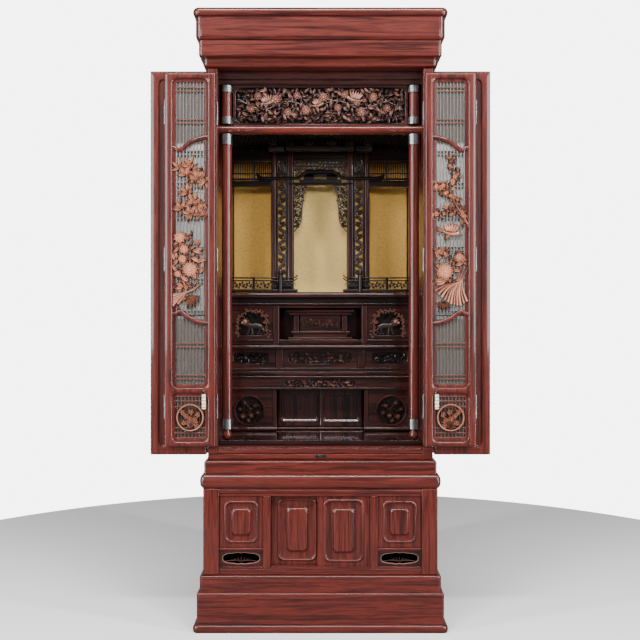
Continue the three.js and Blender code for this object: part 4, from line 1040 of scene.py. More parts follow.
lattice_frame_work = lattice_frame()
print("the lattice frame has", len(lattice_frame_work.faces), "faces")

# %% Where each leaf hangs
MY = (LY0 + LY1) / 2
_, _, inner_front, inner_back, _, _ = span("lattice_leaf_inner_right")
INNER_Y = (inner_front + inner_back) / 2


def turned_round(point):
    """The right inner leaf is the same leaf turned about, with its good face to the case."""
    return (2 * CX - point[0], INNER_Y - (point[1] - MY), point[2])


places = {
    "outer_right": (None, "right_lattice_door_outer_leaf"),
    "outer_left": (mirror, "left_lattice_door_outer_leaf"),
    "inner_right": (turned_round, "right_lattice_door_inner_leaf"),
    "inner_left": (lambda p: mirror(turned_round(p)), "left_lattice_door_inner_leaf"),
}

# %% Bars, by a row of copies
def bar(name, edge, *sizes):
    """A pattern of thin blocks, each (x0, x1, depth, z0, z1)."""
    work = Work()
    for bx0, bx1, depth, bz0, bz1 in sizes:
        block(work, bx0, bx1, 0, depth, bz0, bz1, edge)
    return pattern(name, work)


upright_bar = bar("upright bar", 0.5, (-1.3, 1.3, 2.2, 0, OPEN_TOP - RAIL_TOP - 4))
near_bar = bar("near upright bar", 0.7, (-1.7, 1.7, 1.5, 0, 426))
cross_bar = bar("pair of cross bars", 0.7, (0, IX1 - IX0 - 8, 2.0, -1.9, 1.9), (0, IX1 - IX0 - 8, 2.0, -11.7, -7.9))
grid_bar = bar("low grid bar", 0.5, (-1.4, 1.4, 2.2, 0, RAIL_BOTTOM - OPEN_BOTTOM - 4))
BAR_PITCH, LOWEST_BAR = 82.2, 658
# The near uprights stand only between the curved borders, so their colour is the upright finish's painted highlight.
bar_rows = (
    ("upright_bars", upright_bar, (IX0 + 10, LY0 + 8.6, RAIL_TOP + 2), (8.7, 0, 0), 9, upright_wood),
    ("near_bars", near_bar, (IX0 + 10, LY0 + 6.0, 815), (8.7, 0, 0), 9, upright_wood),
    ("cross_bars", cross_bar, (IX0 + 4, LY0 + 7.3, LOWEST_BAR), (0, 0, BAR_PITCH), 10, cross_bar_wood),
    ("low_uprights", grid_bar, (IX0 + 12, LY0 + 8.6, OPEN_BOTTOM + 2), (9.3, 0, 0), 8, cross_bar_wood),
)
low_cross = Work()
for z in (604, 592, 577, 523, 510, 498):
    block(low_cross, IX0 + 3, IX1 - 3, LY0 + 6.2, LY0 + 8.7, z - 1.5, z + 1.5, 0.6)
for key, (place, body) in places.items():
    make_piece(f"lattice_frame_{key}", lattice_frame_work, [red_stile], body, [f"lattice_leaf_{key}"], place)
    for title, *row in bar_rows:
        row_of(f"{title}_{key}", *row, body, place=place)
    make_piece(f"low_cross_bars_{key}", low_cross, [cross_bar_wood], body, place=place)

# %% Gauze, stretched behind the bars
for key, (place, body) in places.items():
    gx0, gx1, gy0, gy1, gz0, gz1 = span(f"gauze_{key}")
    cloth = Work()
    columns, rows = 8, 60
    for row in range(rows + 1):
        for column in range(columns + 1):
            slack = 0.12 * math.sin(row * 0.9) * math.sin(column * math.pi / columns)
            cloth.points.append((gx0 + (gx1 - gx0) * column / columns, (gy0 + gy1) / 2 + slack,
                                 gz0 + (gz1 - gz0) * row / rows))
    for row in range(rows):
        for column in range(columns):
            first = row * (columns + 1) + column
            cloth.faces.append((first, first + 1, first + columns + 2, first + columns + 1))
            cloth.finishes.append(0)
    sheet = make_piece(f"gauze_sheet_{key}", cloth, [gauze], body, [f"gauze_{key}"])

# %% [markdown]
# ## Carvings on the lattice
# The two front leaves carry carved sprays in a paler wood. On the right, a plum tree in flower, a bird and
# chrysanthemums above a ribbed trunk; on the left, two leafy sprays and peonies over ribbed ground. Low in
# each door is a round medallion with leaves springing from its foot. Freehand work has no rule, so it is
# placed branch by branch, with only the small leaves drawn from a seeded die.

# %% Plum, bird and chrysanthemums on the right
CARVE_Y = LY0 + 7.0


def within(work):
    """Keeps the carving between the stiles, and not in front of the leaf's own depth."""
    work.points = [(min(max(x, IX0 - 3), IX1 + 3), max(y, LY0 + 0.1), z) for x, y, z in work.points]


def broad_leaves(work, curl_of, rows):
    """Single leaves, each (x, z, length, width, degrees)."""
    for lx, lz, length, width, degrees in rows:
        leaf(work, lx, CARVE_Y - 1, lz, length, width, math.radians(degrees), 4.0, curl=curl_of, lift=2, stations=6)


def ribs(work, count, path_of, radii, layers):
    """Ribs of a trunk or a bank, laid in two or three depths."""
    for k in range(count):
        twig(work, bend(path_of(k)), radii, CARVE_Y - (k % layers), 1.4)


def flowering(work, path, seed, flowers, leaves, reach=8.0, radius=6.5, length=12.0, petals=5):
    """Flowers and leaves crowded along a path."""
    die = random.Random(seed)
    for _ in range(leaves):
        x, z = die.choice(path)
        leaf(work, x + die.uniform(-reach, reach), CARVE_Y + die.uniform(-1.5, 1), z + die.uniform(-reach, reach),
             length * die.uniform(0.7, 1.2), length * die.uniform(0.36, 0.5), die.uniform(0, math.tau), 3.2,
             curl=die.uniform(-1, 1), lift=2, stations=4)
    for _ in range(flowers):
        x, z = die.choice(path)
        blossom(work, x + die.uniform(-reach, reach), CARVE_Y - 2 - die.uniform(0, 2), z + die.uniform(-reach, reach),
                radius * die.uniform(0.8, 1.2), petals, 3.6, turn=die.uniform(0, 6))


right_carving = Work()
trunk = bend([(379, 1046), (362, 1074), (346, 1100), (330, 1124), (322, 1134)], 5)
spire = bend([(326, 1128), (342, 1150), (349, 1168), (341, 1192), (337, 1218)], 5)
side_spray = bend([(330, 1124), (312, 1140), (294, 1146)], 5)
twin = bend([(376, 1050), (366, 1082), (356, 1110)], 5)
low_branch = bend([(379, 1048), (356, 1074), (334, 1088), (312, 1078), (291, 1066)], 5)
for path, foot_radius, tip_radius in ((trunk, 4.2, 2.2), (twin, 3.0, 1.5), (low_branch, 3.6, 1.5),
                                      (spire, 2.2, 1.0), (side_spray, 2.2, 1.0)):
    twig(right_carving, path, (foot_radius, tip_radius), CARVE_Y, 1.2)
for path, *crowd in ((spire, 51, 8, 34, 8, 6, 15), (side_spray, 52, 5, 26, 10, 6.5, 15), (trunk, 53, 4, 26, 9, 6),
                     (twin, 54, 3, 14, 7, 6), (low_branch, 55, 5, 34, 10, 6, 15)):
    flowering(right_carving, path, *crowd)
bird(right_carving, 331, CARVE_Y - 1, 1023, 50, 1, tilt=-22)


def root(k):
    """A rib from the heel of the trunk down to the k-th foot."""
    foot = (294 + k * 8.2, 884 - 46 * math.sin(math.pi * min(1, (k + 1) / 8) / 2) + max(0, k - 8) * 5)
    heel = (352 + k * 1.2, 896 + k)
    return [heel, ((heel[0] + foot[0]) / 2 - 5, (heel[1] + foot[1]) / 2 + 3), foot]


ribs(right_carving, 11, root, (2.4, 3.8), 3)
ribs(right_carving, 6, lambda k: [(352 + k * 1.6, 892), (352 + k * 3, 912), (356 + k * 4, 938 - k * 2)],
     (2.6, 1.8), 2)
for k in range(7):
    leaf(right_carving, 318, CARVE_Y, 848, 24, 4.5, math.radians(195 + k * 20), 3.4, lift=2)
broad_leaves(right_carving, 0.5, (
    (292, 972, 22, 9, 20), (318, 968, 22, 9, 150), (296, 958, 20, 9, 60), (326, 958, 22, 9, 110),
    (340, 956, 26, 11, 30), (352, 944, 26, 11, 60), (374, 966, 22, 10, 200), (344, 940, 26, 10, 10),
    (372, 948, 18, 9, 140), (338, 930, 24, 10, -20), (294, 944, 20, 9, -40), (292, 902, 26, 12, -10),
    (322, 898, 26, 12, 190), (304, 890, 24, 11, 30), (300, 910, 22, 10, 70), (330, 902, 20, 9, 150)))
flowering(right_carving, bend([(294, 966), (330, 974), (372, 950)], 5), 56, 3, 26, 13, 7, 18, 7)
flowering(right_carving, bend([(294, 906), (330, 900), (376, 920)], 5), 57, 0, 30, 15, 7, 18, 7)
blossom(right_carving, 320, CARVE_Y - 2, 925, 25, 15, 4.8, 2, turn=0.1, blunt=0.8)
blossom(right_carving, 356, CARVE_Y - 2, 962, 12, 8, 4.2, 2, turn=0.5, blunt=0.7)
within(right_carving)
make_piece("carving_right", right_carving, [salmon_carving], "right_lattice_door_outer_leaf", carved=True)

# %% Sprays and peonies on the left
left_carving = Work()
for seed, heart, tips in ((61, (292, 1158), ((368, 1200), (340, 1206), (352, 1180), (322, 1170))),
                          (66, (292, 1077), ((348, 1136), (330, 1112), (363, 1092), (340, 1080)))):
    for k, tip in enumerate(tips):
        shoot = bend([heart, ((heart[0] + tip[0]) / 2 + 3, (heart[1] + tip[1]) / 2 - 3), tip], 6)
        twig(left_carving, shoot, (2.8, 1.0), CARVE_Y, 1.2)
        flowering(left_carving, shoot, seed + k, 1, 18, 8, 6, 19)
    for k, (lx, lz) in enumerate(tips):
        for degrees in (15, 75, -40):
            leaf(left_carving, lx - 8, CARVE_Y - 1, lz - 6, 25, 10, math.radians(degrees + 12 * k), 4.0, curl=0.7,
                 lift=2, stations=6)
stem = bend([(366, 842), (346, 872), (352, 910), (334, 948), (344, 990), (356, 1010)], 5)
twig(left_carving, stem, (4.6, 1.8), CARVE_Y, 1.2)
flowering(left_carving, stem, 63, 3, 60, 21, 6, 19, 6)
ribs(left_carving, 8, lambda k: [(308 + k * 2, 892 - k * 2), (336 + k * 2, 874 - k), (378, 866 - k * 4.2)],
     (2.2, 3.2), 2)
for k in range(8):
    leaf(left_carving, 342, CARVE_Y, 862, 34, 5, math.radians(180 + k * 13), 3.6, lift=2)
broad_leaves(left_carving, 0.6, (
    (330, 980, 28, 12, 190), (324, 976, 26, 11, 150), (334, 962, 30, 13, 200), (318, 950, 26, 12, 160),
    (372, 952, 24, 10, 60), (376, 938, 24, 10, 110), (366, 924, 24, 10, 40), (378, 912, 24, 10, 130),
    (362, 990, 24, 10, -60), (374, 976, 20, 9, 240), (336, 900, 28, 13, 20), (318, 904, 26, 12, 60),
    (350, 888, 26, 11, -30), (302, 930, 22, 10, 80), (372, 894, 24, 10, 190), (312, 918, 22, 10, 120)))
for fx, fz, fr, petals, layers in ((361, 1012, 17, 9, 2), (350, 982, 14, 9, 2), (354, 957, 13, 9, 2),
                                   (334, 930, 23, 13, 2), (316, 1000, 8, 6, 1), (366, 918, 10, 7, 2)):
    blossom(left_carving, fx, CARVE_Y - 2, fz, fr, petals, 4.6, layers, turn=fz, blunt=0.75)
within(left_carving)
make_piece("carving_left", left_carving, [salmon_carving], "left_lattice_door_outer_leaf", place=mirror, carved=True)

# %% Medallions
def medallion(name, place, body, seed, slender):
    work = Work()
    cz, radius = 550, 33.5
    twig(work, circle(CX, cz, radius, 40), (2.5, 2.5), CARVE_Y - 2.6, 1.3)
    die = random.Random(seed)
    for i in range(9):
        offset = i - 4
        angle = math.pi / 2 + offset * (0.34 if slender else 0.26)
        leaf(work, CX + offset * 1.6, CARVE_Y, cz - radius + 4, die.uniform(40, 58) - abs(offset) * 4.5,
             6.0 if slender else 8.5, angle, 3.6, curl=-0.25 * offset, lift=2)
    for x, z in ((-12, -6), (10, 4), (-3, 14), (15, -13), (-19, 8), (-16, -20), (1, -4), (20, 14)):
        blossom(work, CX + x, CARVE_Y - 2, cz + z, 7.5, 5, 3.6, turn=x)
        leaf(work, CX + x * 0.6, CARVE_Y - 1, cz + z * 0.6 - 8, 17, 6, math.atan2(z + 8, x), 3.4, curl=0.6, lift=2)
    make_piece(name, work, [salmon_carving], body, place=place, carved=True)


medallion("medallion_right", None, "right_lattice_door_outer_leaf", 3, True)
medallion("medallion_left", mirror, "left_lattice_door_outer_leaf", 4, False)

# %% [markdown]
# ## Pulls and hinges
# A dark ring with a pale paper tassel hangs from the rail of each front leaf. The hinges are slim barrels
# with five knuckles, three to an edge, and a row of copies sets them at their heights.

# %% Pulls
SIDES = (("right", None), ("left", mirror))
for side, place in SIDES:
    pull = Work()
    px, pz = IX0 + 9, RAIL_BOTTOM + 4
    dome(pull, px, LY0 + 0.5, pz + 2, 3.0, 2.4)
    twig(pull, circle(px, pz - 3, 3.4, 16), (0.9, 0.9), LY0 - 0.9)
    loft(pull, [ring(px - half, px + half, pz - low, pz - high, y, radius, 3) for half, low, high, y, radius in (
        (4.6, 44, 7, LY0 - 1.8, 1.6), (5, 44.5, 6.6, LY0 - 1.2, 2.0), (5, 44.5, 6.6, LY0 + 0.2, 2.0))], finish=1)
    for k in range(4):
        block(pull, px - 4.9, px + 4.9, LY0 - 2.3, LY0 - 1.6, pz - 14 - k * 9, pz - 12.6 - k * 9, 0.3, finish=2)
    make_piece(f"door_pull_{side}", pull, [dark_metal, paper, brown_rail], f"{side}_lattice_door_outer_leaf",
               place=place)

# %% Hinges
hinge_work = Work()
for k in range(5):
    turned(hinge_work, 0, 0, [(1.7, -31 + k * 12.4), (2.3, -30.4 + k * 12.4), (2.3, -19.4 + k * 12.4),
                              (1.7, -18.8 + k * 12.4)], 12)
hinge_pattern = pattern("hinge barrel", hinge_work)
for joint in frame["joints"]:
    if joint["type"] != "hinge":
        continue
    hx, hy = joint["pos_m"][0] / MM, joint["pos_m"][1] / MM - CASE_FRONT
    lattice = "lattice" in joint["name"]
    low, step = (577, 379.5) if lattice else (552, 398)
    hx = math.copysign(min(abs(hx), cad_high.x / MM - 2.5), hx)
    row_of("hinges_" + joint["name"], hinge_pattern, (hx, hy, low), (0, 0, step), 3,
           grey_metal if lattice else dark_metal, joint["child"])

# %% [markdown]
# ## Mouldings over the altar
# Between the crown and the transom run two stepped mouldings. A straight run of one outline, with its
# corners eased, makes them and the round beam below.

# %% Straight runs
def soften(points, amount):
    """Cuts each corner of an outline back by amount."""
    made = []
    for i, (y, z) in enumerate(points):
        for ny, nz in (points[i - 1], points[(i + 1) % len(points)]):
            length = math.hypot(ny - y, nz - z)
            share = min(amount, length / 3) / length
            made.append((y + (ny - y) * share, z + (nz - z) * share))
    return made


def run_along(work, outline, x0, x1):
    """An outline in Y and Z, run from x0 to x1."""
    loft(work, [[(x, y, z) for y, z in outline] for x in (x0, x1)])


x0, x1, y0, y1, z0, z1 = span("upper_top")
top_run = Work()
run_along(top_run, soften([(y0, z1), (y0, z1 - 10), (y0 + 4, z1 - 12), (y0 + 4, z1 - 19), (y0 + 9, z1 - 21),
                           (y0 + 9, z0), (y0 + 26, z0), (y0 + 26, z1 - 18), (y1, z1 - 18), (y1, z1)], 1.2), x0, x1)
run_along(top_run, soften([(y0 + 4, z1 - 19), (y0 + 9, z1 - 22), (y0 + 12, z1 - 22), (y0 + 12, z1 - 16)], 0.6),
          x0, x1)
dressed("upper_top", top_run, [brown_rail])

# %% Beam with carved ends
x0, x1, y0, y1, z0, z1 = span("beam")
beam_front = y0 + 2
beam = Work()
section = [(beam_front + 12 + 12 * math.cos(a), (z0 + z1) / 2 + (z1 - z0) / 2 * math.sin(a))
           for a in (math.pi / 2 + math.pi * i / 16 for i in range(17))]
run_along(beam, [*section, (y1, z0), (y1, z1)], x0, x1)
dressed("beam", beam, [red_rail])
beam_ends = Work()
middle = (z0 + z1) / 2
for side in (-1, 1):
    for k in range(5):
        curl(beam_ends, side * (238 - k * 11), beam_front + 1.4, middle + (2 if k % 2 else -2), 4.6, 0.9,
             start=k, hand=side)
    leaf(beam_ends, side * 196, beam_front + 1.6, middle + 1, 34, 6, math.pi if side > 0 else 0, 1.6, curl=0.3 * side)
    leaf(beam_ends, side * 198, beam_front + 1.8, middle - 3, 24, 4, math.pi if side > 0 else 0, 1.6)
make_piece("beam_scrolls", beam_ends, [brown_carving], carved=True)

# %% [markdown]
# ## Columns
# Two round columns stand in the front corners of the altar, on turned feet, with metal collars where they
# meet the beam and the floor; shorter posts carry on above the beam.

# %% Turned columns with collars
SHAFT, COLLAR, NECK = 13.5, 15.5, 13


def collar(work, x, y, low, high):
    """A metal band round a column, with eased ends."""
    turned(work, x, y, [(NECK, low), (COLLAR, low + 1.5), (COLLAR, high - 1.5), (NECK, high)], finish=1)


for side in ("right", "left"):
    x0, x1, y0, y1, z0, z1 = span(f"column_{side}")
    cx, cy = (x0 + x1) / 2, (y0 + y1) / 2
    column = Work()
    turned(column, cx, cy, [(5, z0), (10.5, z0 + 3), (13, z0 + 9), (13.2, z0 + 13), (12, z0 + 18), (9, z0 + 24),
                            (9, z0 + 27)])
    collar(column, cx, cy, z0 + 26.5, z0 + 55.5)
    turned(column, cx, cy, [(SHAFT, z0 + 55), (SHAFT, z1 - 30)])
    collar(column, cx, cy, z1 - 31, z1)
    dressed(f"column_{side}", column, [red_stile, grey_metal])
    x0, x1, y0, y1, z0, z1 = span(f"upper_post_{side}")
    post = Work()
    collar(post, cx, cy, z0, z0 + 21.5)
    turned(post, cx, cy, [(SHAFT, z0 + 21), (SHAFT, z1 - 20)])
    collar(post, cx, cy, z1 - 20.5, z1)
    dressed(f"upper_post_{side}", post, [red_stile, grey_metal])

# %% [markdown]
# ## The carved transom
# The transom is the richest carving: birds, open flowers and dense leaves over a wandering branch, cut
# right through a thick board, with a band of breaking waves at its foot. Strewn foliage fills the depth,
# and the flowers, branch, birds and wave crests are placed in front of it.

# %% Transom
x0, x1, y0, y1, z0, z1 = span("transom")
board_front, board_back = y1 - 12, y1
transom = Work()
pierced(transom, x0, x1, z0, z1, board_front, board_back, 0, (z0 + z1) / 2 - 1.5,
        oblong((x1 - x0) / 2 - 7, (z1 - z0) / 2 - 5, 14, 14), 2.0, rays=120)
block(transom, x0 + 3, x1 - 3, board_back - 1.5, board_back, z0 + 2, z1 - 2, 0.4, finish=1)
dressed("transom", transom, [brown_rail, ebony_rail])
foliage("transom_depth", x0 + 16, x1 - 16, z0 + 12, z1 - 16, board_front + 5, 10.5, brown_carving, 5, 0.7, 1.2,
        2.5)
foliage("transom_leaves", x0 + 18, x1 - 18, z0 + 16, z1 - 16, board_front - 1.5, 11.5, brown_carving, 6, 0.7, 1.15,
        2.5)
heroes = Work()
middle = (z0 + z1) / 2
half = x1 - 14
branch = bend([(half * share, middle + up) for share, up in (
    (-1, 14), (-0.7, -12), (-0.4, 10), (-0.1, -6), (0.2, 12), (0.5, -10), (0.8, 8), (1, -12))], 6)
twig(heroes, branch, (2.8, 2.4), board_front + 0.5, 1.0)
for fx, fz, fr in ((-165, 22, 13), (-118, 14, 15), (-62, 24, 12), (-38, -14, 15), (8, 20, 15), (46, -8, 12),
                   (64, 26, 12), (140, 20, 14), (176, -10, 13), (-182, -12, 12), (-86, -20, 13), (108, -20, 14)):
    blossom(heroes, fx, board_front - 1.5, middle + fz, fr, 7, 4.0, 2, turn=fx, blunt=0.65)
for bx, up, length, facing in ((-142, 4, 40, 1), (92, 12, 46, -1), (-8, -2, 34, 1)):
    bird(heroes, bx, board_front - 2, middle + up, length, facing, 4.0)
die = random.Random(8)
for k in range(44):
    wx = -half + 6 + k * (half * 2 - 12) / 43
    leaf(heroes, wx, board_front + 1, z0 + 8 + die.uniform(0, 5), die.uniform(13, 21), die.uniform(5, 7.5),
         die.uniform(0.5, 1.5) + (0.7 if k % 3 == 0 else 0), 3.6, curl=die.uniform(-1.2, 1.2), lift=2.5)
heroes.points = [(x, max(y, board_front - 7.5), min(max(z, z0 + 2), z1 - 3)) for x, y, z in heroes.points]
make_piece("transom_carving", heroes, [brown_carving], carved=True)

# %% [markdown]
# ## Lowest tier
# At the foot of the altar stand two side fronts with round carved windows, and between them a pair of
# small sliding doors. Half-round kerbs shine along the polished floor.

# %% Window fronts
def half_round(y_front, y_back, z0, z1):
    """A run whose front is rounded."""
    steps, radius, middle = 8, (z1 - z0) / 2, (z0 + z1) / 2
    depth = min(radius, y_back - y_front - 0.5)
    nose = [(y_front + depth + depth * math.cos(a), middle + radius * math.sin(a))
            for a in (math.pi / 2 + math.pi * i / steps for i in range(steps + 1))]
    return [*nose, (y_back, z0), (y_back, z1)]


FX0, FX1, FY0, FY1, FZ0, FZ1 = span("window_front_right")
front_y = FY0 + 11
for side, place in SIDES:
    front = Work()
    wx, wz, wr = 203, 542, 39
    pierced(front, FX0 + 12, FX1, FZ0 + 11, FZ1, front_y, front_y + 8, wx, wz, lambda angle: wr, 2.0)
    twig(front, circle(wx, wz, wr + 3, 48), (3.0, 3.0), front_y)
    block(front, FX0, FX0 + 13, front_y - 4, front_y + 1, FZ0 + 10, FZ1, 2.0, finish=1)
    block(front, FX0, FX0 + 12, front_y + 1, FY1, FZ0, FZ1, 1.0, finish=1)
    run_along(front, half_round(FY0 + 0.2, front_y + 1, FZ0, FZ0 + 12), FX0, FX1)
    block(front, FX0 + 20, FX1 - 6, front_y + 7.6, front_y + 9.6, wz - 44, wz + 44, 0.4, finish=2)
    dressed(f"window_front_{side}", front, [brown_rail, brown_stile, ebony_rail], place=place)
    spray = Work()
    twig(spray, bend([(wx - 30, wz + 16), (wx - 8, wz + 4), (wx + 8, wz - 14), (wx + 26, wz - 22)]), (2.6, 1.6),
         front_y + 4, 1.2)
    twig(spray, bend([(wx - 6, wz + 2), (wx + 10, wz + 18), (wx + 18, wz + 30)]), (2.0, 1.2), front_y + 4, 1.2)
    for bx, bz, br in ((-16, 14, 8), (12, 22, 8), (18, -16, 10), (-6, -14, 10), (-24, -6, 8), (2, -28, 8),
                       (26, 4, 7)):
        blossom(spray, wx + bx, front_y + 3, wz + bz, br * 0.85, 7, 3.6, 2, turn=bx)
    window_die = random.Random(21)
    for _ in range(60):
        angle, reach = window_die.uniform(0, math.tau), window_die.uniform(6, 30)
        leaf(spray, wx + reach * math.cos(angle), front_y + 5, wz + reach * math.sin(angle) - 4,
             window_die.uniform(9, 14), 5, window_die.uniform(0, math.tau), 3, curl=0.6, lift=1.5)
    make_piece(f"window_spray_{side}", spray, [brown_carving], place=place, carved=True)

# %% Small doors, track and shelf
for side in ("right", "left"):
    node = f"small_door_{side}"
    ax0, ax1, ay0, ay1, az0, az1 = span(node)
    door = Work()

    def inset(mx, y, radius):
        return ring(ax0 + mx, ax1 - mx, az0 + mx * 1.6, az1 - mx * 1.7, y, radius, 6)

    loft(door, [ring(ax0, ax1, az0, az1, ay1, 0.5, 6), ring(ax0, ax1, az0, az1, ay0 + 2.4, 2, 6),
                ring(ax0 + 2.4, ax1 - 2.4, az0 + 1, az1 - 1, ay0, 1, 6), inset(8.5, ay0, 11),
                inset(10, ay0 + 0.3, 10), inset(12, ay0 + 3.6, 8.5), inset(14, ay0 + 4, 8)])
    cx, cz = (ax0 + ax1) / 2, (az0 + az1) / 2 - 1
    for k in range(4):
        leaf(door, cx, ay0 + 3.8, cz, 8, 2.2, k * math.pi / 2 + 0.5, 1.2, finish=1)
    dome(door, cx, ay0 + 3.6, cz, 2.4, 2.2, finish=1, sides=8)
    dressed(node, door, [brown_stile, dark_metal], f"{side}_small_door")

x0, x1, y0, y1, z0, z1 = span("small_door_track")
track = Work()
run_along(track, half_round(y0, y0 + 12, z0, z1), x0, x1)
block(track, x0, x1, y0 + 10, y1, z0, z1 - 0.2, 0.6)
dressed("small_door_track", track, [brown_rail])

x0, x1, y0, y1, z0, z1 = span("lower_shelf")
shelf = Work()
run_along(shelf, half_round(y0, y1, z1 - 6, z1), x0, x1)
apron_y = y0 + 7
pierced(shelf, -118, 118, z0, z1 - 5, apron_y, apron_y + 8, 0, 620, oblong(100, 11, 4, 4), 1.6, rays=96)
block(shelf, x0, -117.6, apron_y, apron_y + 8, z0, z1 - 5, 0.6)
block(shelf, 117.6, x1, apron_y, apron_y + 8, z0, z1 - 5, 0.6)
block(shelf, x0, x1, apron_y - 2.6, apron_y + 1, z0, z0 + 5.4, 1.4)
block(shelf, -104, 104, apron_y + 6.6, apron_y + 8.2, 607, 633, 0.4, finish=1)
dressed("lower_shelf", shelf, [brown_rail, ebony_rail])
foliage("shelf_apron_leaves", -90, 90, 614, 626, apron_y + 3.5, 7.5, brown_carving, 9, 0.45, 0.75, 1.2)

# %% [markdown]
# ## Middle and upper tiers
# Two more tiers step up like a flight of stairs. The middle one has three oblong carved panels between
# short posts. The upper one has an arched window with a lion on each side, and an open niche with a small
# table in the middle.

# %% Middle tier
x0, x1, y0, y1, z0, z1 = span("middle_tier")
tier_y = y0 + 26
middle_tier = Work()
panel_low, panel_high, panel_middle = 663, 717, 691
step_half, post_in, post_out = 135, 107, 129
block(middle_tier, x0, x1, tier_y - 14, tier_y + 12, z0, z0 + 11, 2.0)
block(middle_tier, -132, 132, tier_y - 22, tier_y - 13, z0, z0 + 11, 2.0)
block(middle_tier, x0, x1, tier_y - 7, tier_y + 12, z0 + 10.5, panel_low, 1.6)
run_along(middle_tier, half_round(tier_y - 20, y1, panel_high, z1), x0, x1)
run_along(middle_tier, half_round(tier_y - 26, tier_y - 12, panel_high, z1), -step_half, step_half)
block(middle_tier, x0, x1, tier_y + 6.5, tier_y + 12, panel_low - 1, panel_high + 1, 0.4, finish=1)
pierced(middle_tier, -post_in, post_in, panel_low, panel_high, tier_y, tier_y + 7, 0, panel_middle,
        oblong(91, 17), 1.8, rays=96)
for side in (-1, 1):
    pierced(middle_tier, *on_side(side, post_out, x1), panel_low, panel_high, tier_y, tier_y + 7, side * 200,
            panel_middle, oblong(50, 16, 4.5, 4.5), 1.8)
    block(middle_tier, *on_side(side, post_in, post_out), tier_y - 6, tier_y + 7, panel_low - 1, panel_high + 1,
          2.4, finish=2)
dressed("middle_tier", middle_tier, [brown_rail, ebony_rail, brown_stile])
foliage("middle_panel_leaves", -80, 80, 682, 700, tier_y + 3.5, 8, brown_carving, 14, 0.5, 0.85, 1.6)
foliage("side_panel_leaves_right", 160, 240, 683, 699, tier_y + 3.5, 8, dark_carving, 15, 0.5, 0.85, 1.6)
foliage("side_panel_leaves_left", -240, -160, 683, 699, tier_y + 3.5, 8, dark_carving, 16, 0.5, 0.85, 1.6)

# %% Upper tier
x0, x1, y0, y1, z0, z1 = span("upper_tier")
upper_y, window_x, arch_head = 290, 197, 835
upper_tier = Work()
block(upper_tier, x0, x1, upper_y, upper_y + 10, z0, z0 + 12, 1.0)
run_along(upper_tier, half_round(upper_y - 5, upper_y + 4, z0 + 9, z0 + 13.5), x0, x1)
block(upper_tier, x0, x1, upper_y, upper_y + 10, arch_head, z1, 1.0)
arch = oblong(44, 36, 2.8, 12)
for side in (-1, 1):
    pierced(upper_tier, *on_side(side, 118, x1), z0 + 12, arch_head, upper_y, upper_y + 10, side * window_x, 792,
            arch, 2.2)
    block(upper_tier, side * window_x - 52, side * window_x + 52, upper_y + 9.6, upper_y + 15, 750, arch_head + 3,
          0.4, finish=1)
    block(upper_tier, side * 128 - 9, side * 128 + 9, upper_y - 8, upper_y + 1, z0, z1, 2.4, finish=2)
fringe = [(-118 + 236 * i / 48, z0 + 8 + 1.8 * math.cos(i * math.pi / 2)) for i in range(49)]
band(upper_tier, fringe, 9, upper_y - 3.8, upper_y + 0.5, 1.2)
dressed("upper_tier", upper_tier, [brown_rail, ebony_rail, brown_stile])
for side, place in SIDES:
    relief = Work()
    rim = bend([(155, 758), (156, 790), (162, 812), (182, 826), (204, 827), (226, 818), (238, 796), (239, 758)], 4)
    twig(relief, rim, (1.6, 1.6), upper_y + 1.5, 1.0)
    rim_die = random.Random(31)
    for x, z in rim[::2]:
        for _ in range(5):
            leaf(relief, x + rim_die.uniform(-4, 4), upper_y + 1.5, z + rim_die.uniform(-3, 3),
                 rim_die.uniform(7, 12), 4, rim_die.uniform(0, math.tau), 2.6, curl=0.7, lift=2, stations=4)
    lion(relief, 192, upper_y + 6, 758, 58, 1)
    for _ in range(12):
        leaf(relief, rim_die.uniform(168, 226), upper_y + 7, rim_die.uniform(806, 820), 11, 5,
             rim_die.uniform(0, math.tau), 2.4, curl=0.5)
    relief.points = [(x, max(y, upper_y - 3.6), z) for x, y, z in relief.points]
    make_piece(f"lion_relief_{side}", relief, [brown_carving], place=place, carved=True)

# %% Table in the niche
x0, x1, y0, y1, z0, z1 = span("niche_table")
table = Work()
block(table, x0, x1, y0, y1, z1 - 10, z1, 2.0)
block(table, x0 + 8, x1 - 8, y0 + 4, y1 - 4, z1 - 18, z1 - 9.5, 1.5)
block(table, -60, 60, y0 + 16, y1 - 12, 767, 814, 1.0)
block(table, -86, 86, y0 + 4, y1 - 4, 760, 768, 1.8)
block(table, -94, 94, y0, y1, z0, 750, 2.0)
block(table, -80, 80, y0 + 8, y1 - 8, 749, 761, 1.4)
pierced(table, -58, 58, 772, 810, y0 + 11, y0 + 16, 0, 792, oblong(49, 13, 5, 5), 1.6)
for side in (-1, 1):
    block(table, side * 71 - 8, side * 71 + 8, y0 + 6, y0 + 22, 767, 814, 1.8, finish=1)
dressed("niche_table", table, [brown_rail, brown_stile])
foliage("table_leaves", -40, 40, 786, 798, y0 + 15, 7.5, brown_carving, 17, 0.45, 0.7, 1.0)

# %% [markdown]
# ## The small palace
# Above the tiers stands a palace front: a railed platform, four posts, a raised beam with upturned ends,
# fine slatted and scrolled lights, hanging brackets and vine strips, all in near-black wood before gold.
# The slats are a row of copies, and the vine is one sprig copied up a path and turned over each time.

# %% Platform and railings
x0, x1, y0, y1, z0, z1 = span("palace_platform")
platform = Work()
block(platform, x0, x1, y0 + 12, y1, z0, z0 + 5, 1.4)
block(platform, x0, x1, y0 + 28, y1, z0 + 4, z0 + 20, 0.6, finish=1)
run_along(platform, half_round(y0 + 10, y1, z0 + 19, z1), x0, x1)
porch_half = 133
run_along(platform, half_round(y0, y0 + 14, z0 + 19, z1), -porch_half, porch_half)
block(platform, -porch_half, porch_half, y0 + 6, y0 + 30, z0, z0 + 5, 1.4)
dressed("palace_platform", platform, [brown_rail, ebony_rail])

